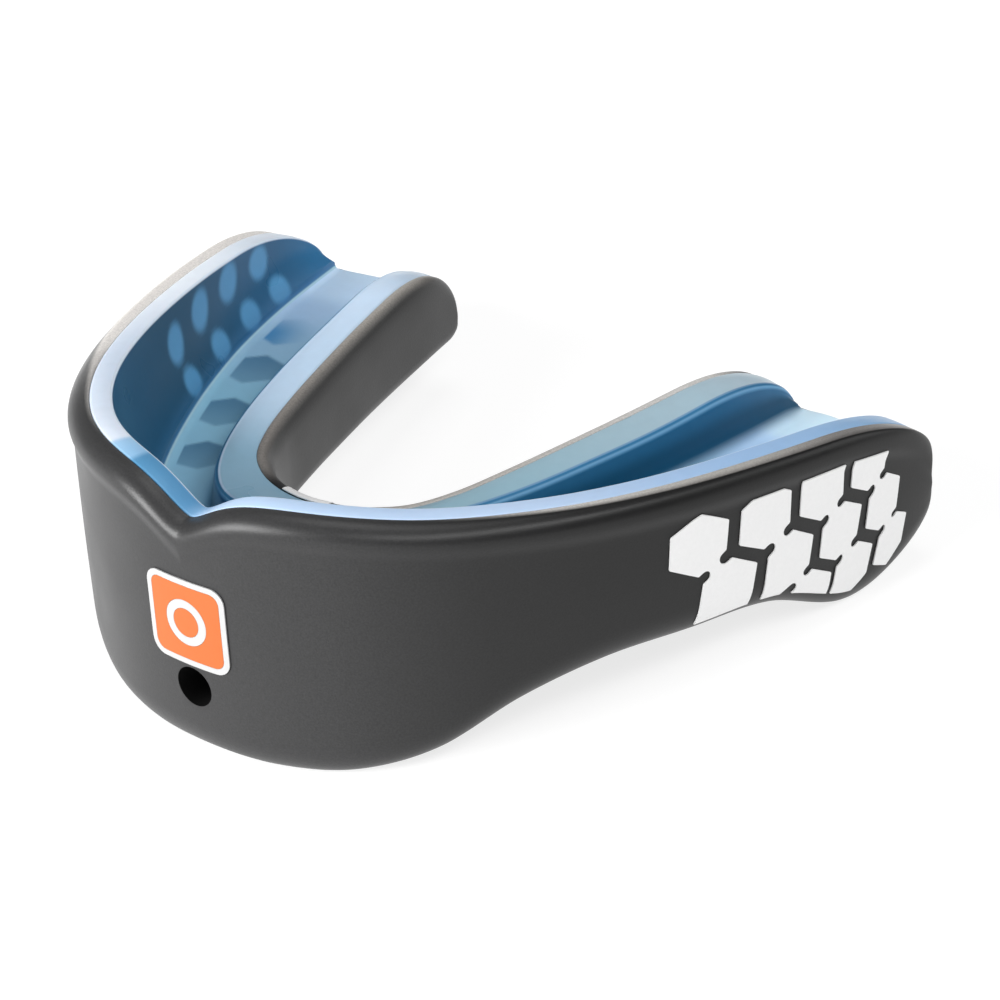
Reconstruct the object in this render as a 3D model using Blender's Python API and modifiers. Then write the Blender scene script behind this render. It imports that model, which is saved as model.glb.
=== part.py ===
"""Mouthguard: rubber outer guard, perforated core, gel liner, bite pads, wall pads, graphics."""
import math

import bmesh
import bpy
from mathutils import Matrix, Vector

# ---- driving dimensions, millimetres, measured from the bite floor (z = 0) ----
MM = 0.001
ARCH_HALF_WIDTH = 30.0
ARCH_LENGTH = 50.0
ARCH_PULL_FRONT = 20.2
ARCH_PULL_SIDE = (26.8, 24.9)
ARM_END = 0.912
TAPER_START = 0.765
PITCH = math.radians(4.62)
LIFT = 10.78
BACK = -21.73

RIM_HEIGHT = (9.3, 9.2, 8.9, 8.4, 7.9, 7.3, 6.7, 6.1, 5.4, 4.8)
NOTCH_DEPTH = 2.4
NOTCH_WIDTH = 3.1
SKIRT_DEPTH = (-11.0, -11.0, -10.6, -9.1, -6.2, -4.8, -4.85, -5.4, -8.3, -8.2)
LINGUAL_RIM = (3.0, 3.0, 3.0, 3.0, 3.1, 3.3, 3.5, 3.7, 3.9, 4.1)
LINGUAL_LIP = (4.3, 3.9, 3.6, 3.4, 3.3, 3.3, 3.4, 3.5, 3.8, 4.1)
LIP_INNER = (-6.4, -6.9, -7.8, -8.7, -9.5, -10.2, -10.8, -11.2, -11.5, -11.7)
LIP_OUTER = (-10.7, -10.8, -10.9, -11.1, -11.8, -12.7, -13.4, -13.8, -14.0, -14.0)
FLOOR_EDGE = (-2.6, -2.8, -3.0, -3.5, -3.9, -4.0, -3.8, -3.5, -3.4, -3.5)
RIM_LINER_WIDTH = 1.6

GAP = 0.3
GUARD_OUT = 1.35
FLOOR_GEL = 0.8
CORE_THICK = 0.5
BASE_TOP = -1.9
BASE_BOTTOM = -3.4
LIP_WALL = 1.2
SKIRT_WALL = 3.4

HEX_PAD_ARC = (25.0, 32.5, 39.9, 46.5)
HEX_PAD_OFFSET = (-6.6, -6.5, -6.1, -5.8)
HEX_PAD_SIDE = 2.3
OVAL_UPPER_ARC = (34.2, 39.2, 44.1, 48.9)
OVAL_LOWER_ARC = (35.6, 40.4, 45.3, 50.1)
OVAL_UPPER_Z = 0.56
OVAL_LOWER_Z = 0.45
OVAL_HALF_WIDTH = 0.68
OVAL_HALF_HEIGHT = (1.1, 0.95)

TETHER_HOLE_Z = -5.6
TETHER_HOLE_RADIUS = 1.5
BADGE_WIDTH = 6.8
BADGE_HEIGHT = 6.6
BADGE_Z = -0.5
BADGE_CORNER = 1.1
BADGE_BORDER = 0.42
BADGE_SEAM = 0.06
RING_RADIUS = (1.1, 1.75)

TREAD_FIRST = 36.5
TREAD_STEP = 5.85
TREAD_SHRINK = 0.27
TREAD_SIDE = 2.28
TREAD_HALF = 2.34
TREAD_SLIDE = (2.27, 1.72)
TREAD_SLIDE_LOSS = 0.3
TREAD_GAP = (0.62, 0.5)
TREAD_NOTCH = 0.7
TREAD_Z = 2.3
TREAD_TOP = (4.4, 3.35)
TREAD_TOP_ARC = (38.0, 53.5)
TREAD_RIM_MARGIN = 0.6
TREAD_BOTTOM = 1.8
FILM = 0.2
FILM_LIFT = 0.1
INSERT_HALF = 0.05
FLAT_SLAB = 4.0

GUARD_COLOUR = (0.045, 0.045, 0.047)
CORE_COLOUR = (0.32, 0.46, 0.50)
GEL_COLOUR = (0.13, 0.36, 0.58)
PAD_COLOUR = (0.10, 0.22, 0.30)
OVAL_COLOUR = (0.28, 0.52, 0.78)
WHITE = (0.86, 0.86, 0.85)
ORANGE = (0.95, 0.29, 0.09)


# ---- helpers ----
for old in list(bpy.data.objects):
    bpy.data.objects.remove(old, do_unlink=True)

scene = bpy.context.scene
body = bpy.data.collections.new("mouthguard")
tools = bpy.data.collections.new("cutters")
scene.collection.children.link(body)
scene.collection.children.link(tools)


def material(name, colour, roughness, metallic=0.0):
    mat = bpy.data.materials.new(name)
    mat.use_nodes = True
    shader = mat.node_tree.nodes["Principled BSDF"]
    shader.inputs["Base Color"].default_value = (*colour, 1.0)
    shader.inputs["Roughness"].default_value = roughness
    shader.inputs["Metallic"].default_value = metallic
    return mat


def table(values, u):
    """Smooth Catmull-Rom reading of evenly spaced values (0.1 apart) at |u|."""
    x = min(abs(u) / 0.1, len(values) - 1.001)
    i = int(x)
    f = x - i
    p1 = values[i]
    p2 = values[i + 1]
    p0 = values[i - 1] if i > 0 else values[1]
    p3 = values[i + 2] if i + 2 < len(values) else 2 * p2 - p1
    m1 = (p2 - p0) / 2
    m2 = (p3 - p1) / 2
    h = f * f * (3 - 2 * f)
    return p1 + (p2 - p1) * h + m1 * (f - 2 * f * f + f**3) + m2 * (f**3 - f * f)


def lerp(a, b, t):
    return a + (b - a) * t


def arch(u):
    """Point and outward normal of the rim line at u; negative u is the mirrored arm."""
    t = abs(u)
    a = 3 * t * (1 - t) ** 2
    b = 3 * t * t * (1 - t)
    c = t**3
    x = a * ARCH_PULL_FRONT + b * ARCH_PULL_SIDE[0] + c * ARCH_HALF_WIDTH
    y = b * ARCH_PULL_SIDE[1] + c * ARCH_LENGTH
    da = 3 * (1 - t) ** 2
    db = 6 * t * (1 - t)
    dc = 3 * t * t
    dx = da * ARCH_PULL_FRONT + db * (ARCH_PULL_SIDE[0] - ARCH_PULL_FRONT)
    dx += dc * (ARCH_HALF_WIDTH - ARCH_PULL_SIDE[0])
    dy = db * ARCH_PULL_SIDE[1] + dc * (ARCH_LENGTH - ARCH_PULL_SIDE[1])
    size = math.hypot(dx, dy)
    side = -1.0 if u < 0 else 1.0
    return (x * side, y), (dy / size * side, -dx / size)


def place(u, offset, z):
    p, n = arch(u)
    return Vector((p[0] + n[0] * offset, p[1] + n[1] * offset, z)) * MM


def taper(u):
    """1 along the arm, falling on a quarter ellipse to 0 at the arm's rear end."""
    t = (abs(u) - TAPER_START) / (ARM_END - TAPER_START)
    if t <= 0:
        return 1.0
    return math.sqrt(max(0.0, 1.0 - t**2.2))


def rim(u):
    x = arch(u)[0][0]
    top = table(RIM_HEIGHT, u) - NOTCH_DEPTH * math.exp(-abs(x / NOTCH_WIDTH) ** 1.5)
    return 0.35 + (top - 0.35) * taper(u)


def skirt(u):
    low = -4.4
    return low + (table(SKIRT_DEPTH, u) - low) * taper(u) ** 1.2


def lip_low(u):
    return 0.3 + (table(LINGUAL_RIM, u) - 0.3) * taper(u)


def lip_high(u):
    return 0.35 + (table(LINGUAL_LIP, u) - 0.35) * taper(u)


def gel_back(u, z):
    """Offset of the liner's outer face at height z."""
    top = rim(u)
    foot = table(FLOOR_EDGE, u) + 1.2
    t = min(1.0, max(0.0, z / top))
    return lerp(foot, -0.15, t)


def stations():
    fine = [0.0, 0.012, 0.024, 0.036, 0.05, 0.065, 0.085, 0.11, 0.14]
    steady = [0.14 + 0.033 * i for i in range(1, 20)]
    rear = [0.785, 0.803, 0.82, 0.836, 0.852, 0.866, 0.879, 0.891, 0.901, 0.908, ARM_END]
    half = fine + [s for s in steady if s < 0.78] + rear
    return [-u for u in half[:0:-1]] + half


def loft(name, ring, mat, us=None):
    """Closed body through one ring of (offset, z) points per station, with end caps."""
    us = us or stations()
    bm = bmesh.new()
    rings = []
    for u in us:
        rings.append([bm.verts.new(place(u, o, z)) for o, z in ring(u)])
    count = len(rings[0])
    for a, b in zip(rings, rings[1:]):
        for i in range(count):
            j = (i + 1) % count
            bm.faces.new((a[i], a[j], b[j], b[i]))
    caps = [bm.faces.new(rings[0][::-1]), bm.faces.new(rings[-1])]
    bmesh.ops.triangulate(bm, faces=caps)
    return finish(name, bm, mat)


def finish(name, bm, mat, collection=None):
    bmesh.ops.recalc_face_normals(bm, faces=bm.faces)
    mesh = bpy.data.meshes.new(name)
    bm.to_mesh(mesh)
    bm.free()
    obj = bpy.data.objects.new(name, mesh)
    if mat:
        mesh.materials.append(mat)
    (collection or body).objects.link(obj)
    return obj


def cutter(name, bm):
    obj = finish(name, bm, None, tools)
    obj.hide_render = True
    obj.display_type = "WIRE"
    return obj


def cut(target, tool, name="cut"):
    mod = target.modifiers.new(name, "BOOLEAN")
    mod.operation = "DIFFERENCE"
    mod.solver = "EXACT"
    mod.object = tool


def prism(outline, depth, matrix):
    """Closed prism of a flat outline, centred on its plane, carried by matrix."""
    bm = bmesh.new()
    low = [bm.verts.new((x * MM, y * MM, -depth * MM / 2)) for x, y in outline]
    face = bm.faces.new(low)
    out = bmesh.ops.extrude_face_region(bm, geom=[face])
    moved = [v for v in out["geom"] if isinstance(v, bmesh.types.BMVert)]
    bmesh.ops.translate(bm, verts=moved, vec=(0, 0, depth * MM))
    bmesh.ops.transform(bm, matrix=matrix, verts=bm.verts)
    return bm


def ellipse(rx, ry, count):
    step = 2 * math.pi / count
    return [(rx * math.cos(step * i), ry * math.sin(step * i)) for i in range(count)]


def hexagon(side):
    return [(side * math.cos(math.pi / 3 * i), side * math.sin(math.pi / 3 * i)) for i in range(6)]


def rounded(w, h, r, steps=4):
    pts = []
    for cx, cy, start in ((1, 1, 0), (-1, 1, 90), (-1, -1, 180), (1, -1, 270)):
        for i in range(steps + 1):
            a = math.radians(start + 90 * i / steps)
            pts.append((cx * (w / 2 - r) + r * math.cos(a), cy * (h / 2 - r) + r * math.sin(a)))
    return pts


# ---- sections ----
def guard_ring(u):
    za = rim(u)
    zb = skirt(u)
    zd = lip_low(u)
    od = table(LIP_OUTER, u)
    out = GUARD_OUT - 0.5 * (1 - taper(u))
    hb = min(1.3, 0.3 * (za - zb))
    hr = min(2.6, 0.42 * (za - zb))
    zs = min(zb + 0.8, BASE_BOTTOM - 0.15)
    inner = out - SKIRT_WALL
    pts = [(0.15, za), (0.55, za)]
    for deg in (65, 42, 20, 0):
        a = math.radians(deg)
        pts.append((0.55 + (out - 0.55) * math.cos(a), za - hb + hb * math.sin(a)))
    for t, bulge in ((0.33, 0.05), (0.67, 0.05), (1.0, 0.0)):
        pts.append((out + bulge, lerp(za - hb, zb + hr, t)))
    for deg in (25, 48, 70, 90):
        a = math.radians(deg)
        pts.append((-0.4 + (out + 0.4) * math.cos(a), zb + hr - hr * math.sin(a)))
    pts.append((inner + 0.75, zb))
    pts.append((inner + 0.2, lerp(zb, zs, 0.35)))
    pts.append((inner, zs))
    pts.append((inner - 0.2, lerp(zs, BASE_BOTTOM, 0.7)))
    pts.append((inner - 0.5, BASE_BOTTOM))
    pts.append((lerp(inner - 0.5, od, 0.5), BASE_BOTTOM - 0.04))
    pts.append((od - 0.1, BASE_BOTTOM))
    pts.append((od - LIP_WALL + 0.35, BASE_BOTTOM + 0.3))
    pts.append((od - LIP_WALL, BASE_BOTTOM + 1.1))
    hl = min(0.9, 0.4 * (zd + 1.9))
    pts.append((od - LIP_WALL, zd - hl))
    pts.append((od - LIP_WALL + 0.2, zd - 0.35 * hl))
    pts.append((od - LIP_WALL + 0.6, zd))
    pts.append((od - 0.15, zd))
    pts.append((od - 0.15, BASE_TOP))
    foot = gel_back(u, 0.0) + CORE_THICK + 2 * GAP
    pts.append((lerp(od, foot, 0.5), BASE_TOP - 0.04))
    pts.append((foot, BASE_TOP))
    pts.append((foot + 0.04, 0.0))
    for t in (0.45, 0.87):
        pts.append((gel_back(u, t * za) + CORE_THICK + 2 * GAP, t * za))
    pts.append((0.15, 0.92 * za))
    return pts


def liner_ring(u):
    za = rim(u)
    zc = lip_high(u)
    zd = lip_low(u)
    oc = table(LIP_INNER, u)
    od = table(LIP_OUTER, u)
    oe = table(FLOOR_EDGE, u)
    ob = -RIM_LINER_WIDTH - 1.2 * (1 - taper(u))
    f = min(0.7, 0.45 * za)
    g = min(0.6, 0.45 * zc)
    pts = [(-0.15, za), (-0.15, za * 0.9)]
    for t in (0.6, 0.3):
        pts.append((min(-0.15, gel_back(u, za * t)), za * t))
    pts.append((gel_back(u, 0.0), 0.0))
    pts.append((gel_back(u, 0.0), -FLOOR_GEL))
    pts.append((lerp(oe, oc, 0.5), -FLOOR_GEL))
    pts.append((od + 0.15, -FLOOR_GEL))
    pts.append((od + 0.15, zd))
    pts.append((lerp(od, oc, 0.5), lerp(zd, zc, 0.5)))
    pts.append((oc - 0.15, zc))
    pts.append((oc, zc - 0.12 * g))
    pts.append((oc + 0.4, lerp(zc, g, 0.6)))
    pts.append((oc + 0.6, g))
    pts.append((oc + 0.85, 0.3 * g))
    pts.append((oc + 1.4, 0.0))
    pts.append((lerp(oe - 1.2, oc + 1.4, 0.5), 0.0))
    pts.append((oe - 1.2, 0.0))
    pts.append((oe - 0.5, 0.3 * f))
    pts.append((oe - 0.1, f))
    for t in (0.5, 0.9):
        pts.append((lerp(oe - 0.1, ob, t), lerp(f, za, t)))
    pts.append((ob + 0.12, za))
    return pts


def core_ring(u):
    za = rim(u)
    od = table(LIP_OUTER, u)
    top = 0.84 * za
    low = -FLOOR_GEL - GAP
    foot = gel_back(u, 0.0) + GAP
    pts = [(gel_back(u, top) + GAP, top), (gel_back(u, top) + GAP + CORE_THICK, top)]
    pts.append((gel_back(u, top / 2) + GAP + CORE_THICK, top / 2))
    pts.append((foot + CORE_THICK, 0.0))
    pts.append((foot + CORE_THICK, low - CORE_THICK))
    pts.append((lerp(od, foot, 0.5), low - CORE_THICK))
    pts.append((od + 0.9, low - CORE_THICK))
    pts.append((od + 0.9, low))
    pts.append((lerp(od, foot, 0.5), low))
    pts.append((foot - 0.25, low))
    pts.append((foot, low + 0.25))
    pts.append((foot, 0.0))
    pts.append((gel_back(u, top / 2) + GAP, top / 2))
    return pts


rubber = material("guard_rubber", GUARD_COLOUR, 0.42)
core_mat = material("core_resin", CORE_COLOUR, 0.35)
gel = material("liner_gel", GEL_COLOUR, 0.12)
pad_mat = material("pad_rubber", PAD_COLOUR, 0.45)
oval_mat = material("oval_gel", OVAL_COLOUR, 0.30)
white = material("white_print", WHITE, 0.38)
orange = material("badge_orange", ORANGE, 0.35)

guard = loft("shock_guard", guard_ring, rubber)
liner = loft("gel_liner", liner_ring, gel)
core = loft("support_core", core_ring, core_mat)


# ---- arc length along an offset of the rim line ----
def arc_reader(offset):
    steps = 400
    us = [i / steps for i in range(steps + 1)]
    run = [0.0]
    last = place(0.0, offset, 0.0)
    for u in us[1:]:
        here = place(u, offset, 0.0)
        run.append(run[-1] + (here - last).length / MM)
        last = here

    def read(s):
        t = abs(s)
        low = 0
        high = steps
        while high - low > 1:
            mid = (low + high) // 2
            if run[mid] > t:
                high = mid
            else:
                low = mid
        u = (low + (t - run[low]) / (run[high] - run[low])) / steps
        return -u if s < 0 else u

    return read


rim_u = arc_reader(0.0)
wall_u = arc_reader(GUARD_OUT)


def wall_frame(u, offset, z):
    """Matrix on a wall at u: X along the arm, Y up, Z outward."""
    _, n = arch(u)
    side = Vector((-n[1], n[0], 0.0))
    out = Vector((n[0], n[1], 0.0))
    rot = Matrix((side, (0, 0, 1), out)).transposed()
    return Matrix.Translation(place(u, offset, z)) @ rot.to_4x4()


def core_frame(u, z):
    """Matrix centred in the core's leaning wall."""
    low = place(u, gel_back(u, z - 0.5) + GAP + CORE_THICK / 2, z - 0.5)
    high = place(u, gel_back(u, z + 0.5) + GAP + CORE_THICK / 2, z + 0.5)
    up = (high - low).normalized()
    _, n = arch(u)
    side = Vector((-n[1], n[0], 0.0))
    out = side.cross(up)
    rot = Matrix((side, up, out)).transposed()
    return Matrix.Translation((low + high) / 2) @ rot.to_4x4()


def floor_frame(u, offset, z):
    """Matrix on the floor at u: X along the arm, Y across, Z up."""
    _, n = arch(u)
    side = Vector((-n[1], n[0], 0.0))
    out = Vector((n[0], n[1], 0.0))
    rot = Matrix((side, -out, (0, 0, 1))).transposed()
    if rot.determinant() < 0:
        rot = Matrix((side, out, (0, 0, 1))).transposed()
    return Matrix.Translation(place(u, offset, z)) @ rot.to_4x4()


# ---- pads in the core's windows ----
core_mid = -FLOOR_GEL - GAP - CORE_THICK / 2
window_bm = bmesh.new()
shift = GAP / math.cos(math.pi / 6)


def join_into(target, source):
    mesh = bpy.data.meshes.new("piece")
    source.to_mesh(mesh)
    source.free()
    target.from_mesh(mesh)
    bpy.data.meshes.remove(mesh)


for side, tag in ((1, "right"), (-1, "left")):
    for i, arc in enumerate(HEX_PAD_ARC):
        spot = floor_frame(rim_u(arc * side), HEX_PAD_OFFSET[i], core_mid)
        finish(f"bite_pad_{tag}_{i + 1}", prism(hexagon(HEX_PAD_SIDE), CORE_THICK, spot), pad_mat)
        join_into(window_bm, prism(hexagon(HEX_PAD_SIDE + shift), 1.2, spot))
    for row, arcs in enumerate((OVAL_UPPER_ARC, OVAL_LOWER_ARC)):
        level = "upper" if row == 0 else "lower"
        for i, arc in enumerate(arcs):
            u = rim_u(arc * side)
            z = OVAL_UPPER_Z * rim(u) if row == 0 else OVAL_LOWER_Z
            spot = core_frame(u, z)
            half = OVAL_HALF_HEIGHT[row]
            oval = ellipse(OVAL_HALF_WIDTH, half, 16)
            hole = ellipse(OVAL_HALF_WIDTH + GAP, half + GAP, 16)
            finish(f"wall_pad_{level}_{tag}_{i + 1}", prism(oval, CORE_THICK, spot), oval_mat)
            join_into(window_bm, prism(hole, 1.3, spot))
windows = cutter("core_windows", window_bm)
cut(core, windows, "windows")

# ---- tether hole through the front wall ----
bore = prism(
    ellipse(TETHER_HOLE_RADIUS, TETHER_HOLE_RADIUS, 32),
    12.0,
    wall_frame(0.0, 0.0, TETHER_HOLE_Z),
)
tether_hole = cutter("tether_hole", bore)
cut(guard, tether_hole, "tether")


# ---- thin films on the outer wall ----
def keep_largest(bm):
    """Drop the small islands that clipping leaves beside the main shape."""
    left = set(bm.faces)
    islands = []
    while left:
        stack = [left.pop()]
        group = []
        while stack:
            face = stack.pop()
            group.append(face)
            for edge in face.edges:
                for other in edge.link_faces:
                    if other in left:
                        left.remove(other)
                        stack.append(other)
        islands.append(group)
    islands.sort(key=lambda g: sum(f.calc_area() for f in g))
    for group in islands[:-1]:
        bmesh.ops.delete(bm, geom=group, context="FACES")


def film(name, outline, mat, side, holes=(), planes=(), lift=FILM_LIFT, step=1.2):
    """Sheet laid on the outer wall in (arc, height) and given its thickness."""
    bm = bmesh.new()
    loops = []
    for pts in (outline, *holes):
        loop = [bm.verts.new((s, z, 0)) for s, z in pts]
        loops += [bm.edges.new((loop[i], loop[(i + 1) % len(loop)])) for i in range(len(loop))]
    bmesh.ops.triangle_fill(bm, edges=loops, use_beauty=True, use_dissolve=False)
    for co, no in planes:
        geom = list(bm.verts) + list(bm.edges) + list(bm.faces)
        bmesh.ops.bisect_plane(
            bm, geom=geom, plane_co=(*co, 0), plane_no=(*no, 0), clear_outer=True
        )
    low = min(v.co.x for v in bm.verts)
    high = max(v.co.x for v in bm.verts)
    count = max(1, math.ceil((high - low) / step))
    for i in range(1, count):
        x = lerp(low, high, i / count)
        geom = list(bm.verts) + list(bm.edges) + list(bm.faces)
        bmesh.ops.bisect_plane(bm, geom=geom, plane_co=(x, 0, 0), plane_no=(1, 0, 0))
    bmesh.ops.remove_doubles(bm, verts=bm.verts, dist=0.01)
    bmesh.ops.triangulate(bm, faces=bm.faces)
    keep_largest(bm)
    for face in bm.faces:
        if (face.normal.z < 0) != (side < 0):
            face.normal_flip()
    for v in bm.verts:
        v.co = place(wall_u(v.co.x * side), GUARD_OUT + 0.05 + lift, v.co.y)
    mesh = bpy.data.meshes.new(name)
    bm.to_mesh(mesh)
    bm.free()
    mesh.materials.append(mat)
    obj = bpy.data.objects.new(name, mesh)
    body.objects.link(obj)
    thick = obj.modifiers.new("thickness", "SOLIDIFY")
    thick.thickness = FILM * MM
    thick.offset = 1.0
    return obj


def column_outline(index, count):
    """One slanting column of linked hexagons, notched at both ends of each shared edge."""
    shrink = 1 - 2 * TREAD_SHRINK * index / TREAD_STEP
    cs = TREAD_FIRST + TREAD_STEP * index - TREAD_SHRINK * index**2
    cz = TREAD_Z + 0.1 * index
    w = TREAD_HALF * shrink
    h = TREAD_SIDE * (1 - 0.03 * index)
    slope = Vector((h / 2, -w)).normalized()
    reach = w * slope.x - h / 2 * slope.y
    right = []
    left = []
    for k in range(count):
        if k > 0:
            slide = TREAD_SLIDE[k - 1] - TREAD_SLIDE_LOSS * index
            cs += slide
            cz -= (TREAD_GAP[k - 1] + 2 * reach - slide * slope.x) / -slope.y
        top = (cs, cz + h)
        bottom = (cs, cz - h)
        rt = (cs + w, cz + h / 2)
        rb = (cs + w, cz - h / 2)
        lt = (cs - w, cz + h / 2)
        lb = (cs - w, cz - h / 2)
        edge = Vector((bottom[0] - rb[0], bottom[1] - rb[1])).normalized()
        if k > 0:
            near = (top[0] + edge.x * TREAD_NOTCH, top[1] + edge.y * TREAD_NOTCH)
            tip = ((near[0] + last_in[0]) / 2, (near[1] + last_in[1]) / 2)
            right.append((tip[0] + edge.x * 0.28, tip[1] + edge.y * 0.28))
            right.append(near)
            far = (lt[0] - edge.x * TREAD_NOTCH, lt[1] - edge.y * TREAD_NOTCH)
            tip = ((far[0] + last_out[0]) / 2, (far[1] + last_out[1]) / 2)
            left.append((tip[0] - edge.x * 0.28, tip[1] - edge.y * 0.28))
            left.append(far)
        right += [top, rt, rb]
        left += [lt, lb]
        last_in = (rb[0] + edge.x * TREAD_NOTCH, rb[1] + edge.y * TREAD_NOTCH)
        last_out = (bottom[0] - edge.x * TREAD_NOTCH, bottom[1] - edge.y * TREAD_NOTCH)
        if k < count - 1:
            right.append(last_in)
            left += [bottom, last_out]
        else:
            right.append(bottom)
    return right + left[::-1]


def line_plane(p, q, keep_below):
    """Point and normal of the line p-q, normal on the side to clear."""
    n = Vector((p[1] - q[1], q[0] - p[0])).normalized()
    if (n.y > 0) != keep_below:
        n = -n
    return (p, (n.x, n.y))


def tread_top(s):
    t = (s - TREAD_TOP_ARC[0]) / (TREAD_TOP_ARC[1] - TREAD_TOP_ARC[0])
    return min(lerp(*TREAD_TOP, t), rim(wall_u(s)) - TREAD_RIM_MARGIN)


for side, tag in ((1, "right"), (-1, "left")):
    for index in range(4):
        outline = column_outline(index, 2 if index == 0 else 3)
        xs = [p[0] for p in outline]
        marks = [lerp(min(xs), max(xs), t) for t in (0.1, 0.5, 0.9)]
        tops = [(s, tread_top(s)) for s in marks]
        lows = [(s, skirt(wall_u(s)) + TREAD_BOTTOM) for s in marks]
        planes = [line_plane(tops[0], tops[2], True)]
        planes.append(line_plane(lows[0], lows[1], False))
        planes.append(line_plane(lows[1], lows[2], False))
        film(f"tread_{tag}_{index + 1}", outline, white, side, planes=planes)

# ---- badge: border frame, face and ring ----
half_w = BADGE_WIDTH / 2
outer = [(x, y + BADGE_Z) for x, y in rounded(BADGE_WIDTH, BADGE_HEIGHT, BADGE_CORNER)]


def inset(d):
    w = BADGE_WIDTH - 2 * d
    h = BADGE_HEIGHT - 2 * d
    return [(x, y + BADGE_Z) for x, y in rounded(w, h, BADGE_CORNER - d * 0.8)]


def circle(r):
    return [(x, y + BADGE_Z) for x, y in ellipse(r, r, 28)]


film("badge_border", outer, white, 1, holes=(inset(BADGE_BORDER),), step=0.6)
film("badge_face", inset(BADGE_BORDER + BADGE_SEAM), orange, 1, holes=(circle(RING_RADIUS[1]),), step=0.6)
film(
    "badge_ring",
    circle(RING_RADIUS[1] - BADGE_SEAM),
    white,
    1,
    holes=(circle(RING_RADIUS[0]),),
    step=0.6,
)
film("badge_centre", circle(RING_RADIUS[0] - BADGE_SEAM), orange, 1, step=0.6)


# ---- white insert on the inner lip at the front ----
def insert_ring(u):
    od = table(LIP_OUTER, u)
    z = lip_low(u) + FILM_LIFT
    return [(od - 0.25, z), (od - 0.25, z + FILM), (od - 0.95, z + FILM), (od - 0.95, z)]


insert_us = [INSERT_HALF * (i / 6 - 1) for i in range(13)]
loft("lip_insert", insert_ring, white, insert_us)

# ---- stand the guard on its front edge and its two rear lobes ----
for obj in list(body.objects) + list(tools.objects):
    obj.rotation_euler = (-PITCH, 0.0, 0.0)
    obj.location = (0.0, BACK * MM, LIFT * MM)

slab_bm = bmesh.new()
bmesh.ops.create_cube(slab_bm, size=1.0)
bmesh.ops.scale(slab_bm, vec=(0.09, 0.09, FLAT_SLAB * MM), verts=slab_bm.verts)
ground = cutter("ground_slab", slab_bm)
ground.location = (0.0, 0.0, -FLAT_SLAB * MM / 2)
cut(guard, ground, "flats")
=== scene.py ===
"""Mouthguard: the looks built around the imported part.

Lengths are in millimetres until place() turns them into the frame's metres.
"""
import math

import bmesh
import bpy
import numpy as np
from mathutils import Matrix, Vector


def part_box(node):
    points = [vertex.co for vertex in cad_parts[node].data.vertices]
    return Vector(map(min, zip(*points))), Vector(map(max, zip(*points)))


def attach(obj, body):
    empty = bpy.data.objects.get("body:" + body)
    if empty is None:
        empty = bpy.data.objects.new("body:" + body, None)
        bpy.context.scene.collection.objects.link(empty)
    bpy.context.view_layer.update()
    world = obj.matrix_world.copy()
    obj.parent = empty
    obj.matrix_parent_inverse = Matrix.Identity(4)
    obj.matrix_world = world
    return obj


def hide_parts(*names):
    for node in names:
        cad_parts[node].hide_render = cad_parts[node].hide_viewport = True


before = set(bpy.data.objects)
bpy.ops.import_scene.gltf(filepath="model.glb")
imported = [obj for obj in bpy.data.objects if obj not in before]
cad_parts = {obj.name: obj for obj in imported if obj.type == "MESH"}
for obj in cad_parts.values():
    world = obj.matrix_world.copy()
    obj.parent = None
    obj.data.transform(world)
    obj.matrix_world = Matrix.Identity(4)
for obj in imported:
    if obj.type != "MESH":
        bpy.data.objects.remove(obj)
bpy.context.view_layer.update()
MM = 0.001

# ---- driving dimensions, as the part's ----
# u runs along the arch from 0 at the front, heights are over the bite floor, and offsets go outwards from the
# rim line. A tuple of ten holds a value for every 0.1 of u.
ARCH_HALF_WIDTH = 30.0
ARCH_LENGTH = 50.0
ARCH_PULL_FRONT = 20.2
ARCH_PULL_SIDE = (26.8, 24.9)
ARM_END = 0.912
TAPER_START = 0.765
PITCH = math.radians(4.62)
LIFT = 10.78
BACK = -21.73
RIM_HEIGHT = (9.3, 9.2, 8.9, 8.4, 7.9, 7.3, 6.7, 6.1, 5.4, 4.8)
NOTCH_DEPTH = 2.4
NOTCH_WIDTH = 3.1
SKIRT_DEPTH = (-11.0, -11.0, -10.6, -9.1, -6.2, -4.8, -4.85, -5.4, -8.3, -8.2)
LINGUAL_RIM = (3.0, 3.0, 3.0, 3.0, 3.1, 3.3, 3.5, 3.7, 3.9, 4.1)
LINGUAL_LIP = (4.3, 3.9, 3.6, 3.4, 3.3, 3.3, 3.4, 3.5, 3.8, 4.1)
LIP_INNER = (-6.4, -6.9, -7.8, -8.7, -9.5, -10.2, -10.8, -11.2, -11.5, -11.7)
LIP_OUTER = (-10.7, -10.8, -10.9, -11.1, -11.8, -12.7, -13.4, -13.8, -14.0, -14.0)
FLOOR_EDGE = (-2.6, -2.8, -3.0, -3.5, -3.9, -4.0, -3.8, -3.5, -3.4, -3.5)
RIM_LINER_WIDTH = 1.6
RIM_LINER_SPREAD = 1.2
GAP = 0.3
GUARD_OUT = 1.35
FLOOR_GEL = 0.8
CORE_THICK = 0.5
BASE_TOP = -1.9
BASE_BOTTOM = -3.4
LIP_WALL = 1.2
SKIRT_WALL = 3.4
RIM_END = 0.35
LAND_END = 0.3
SKIRT_END = -4.4
OUT_TAPER = 0.5
SKIRT_ROUND = 2.6
SKIRT_ROUND_SHARE = 0.42
SKIRT_ROUND_CENTRE = -0.4
WALL_SWELL = 0.05

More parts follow.
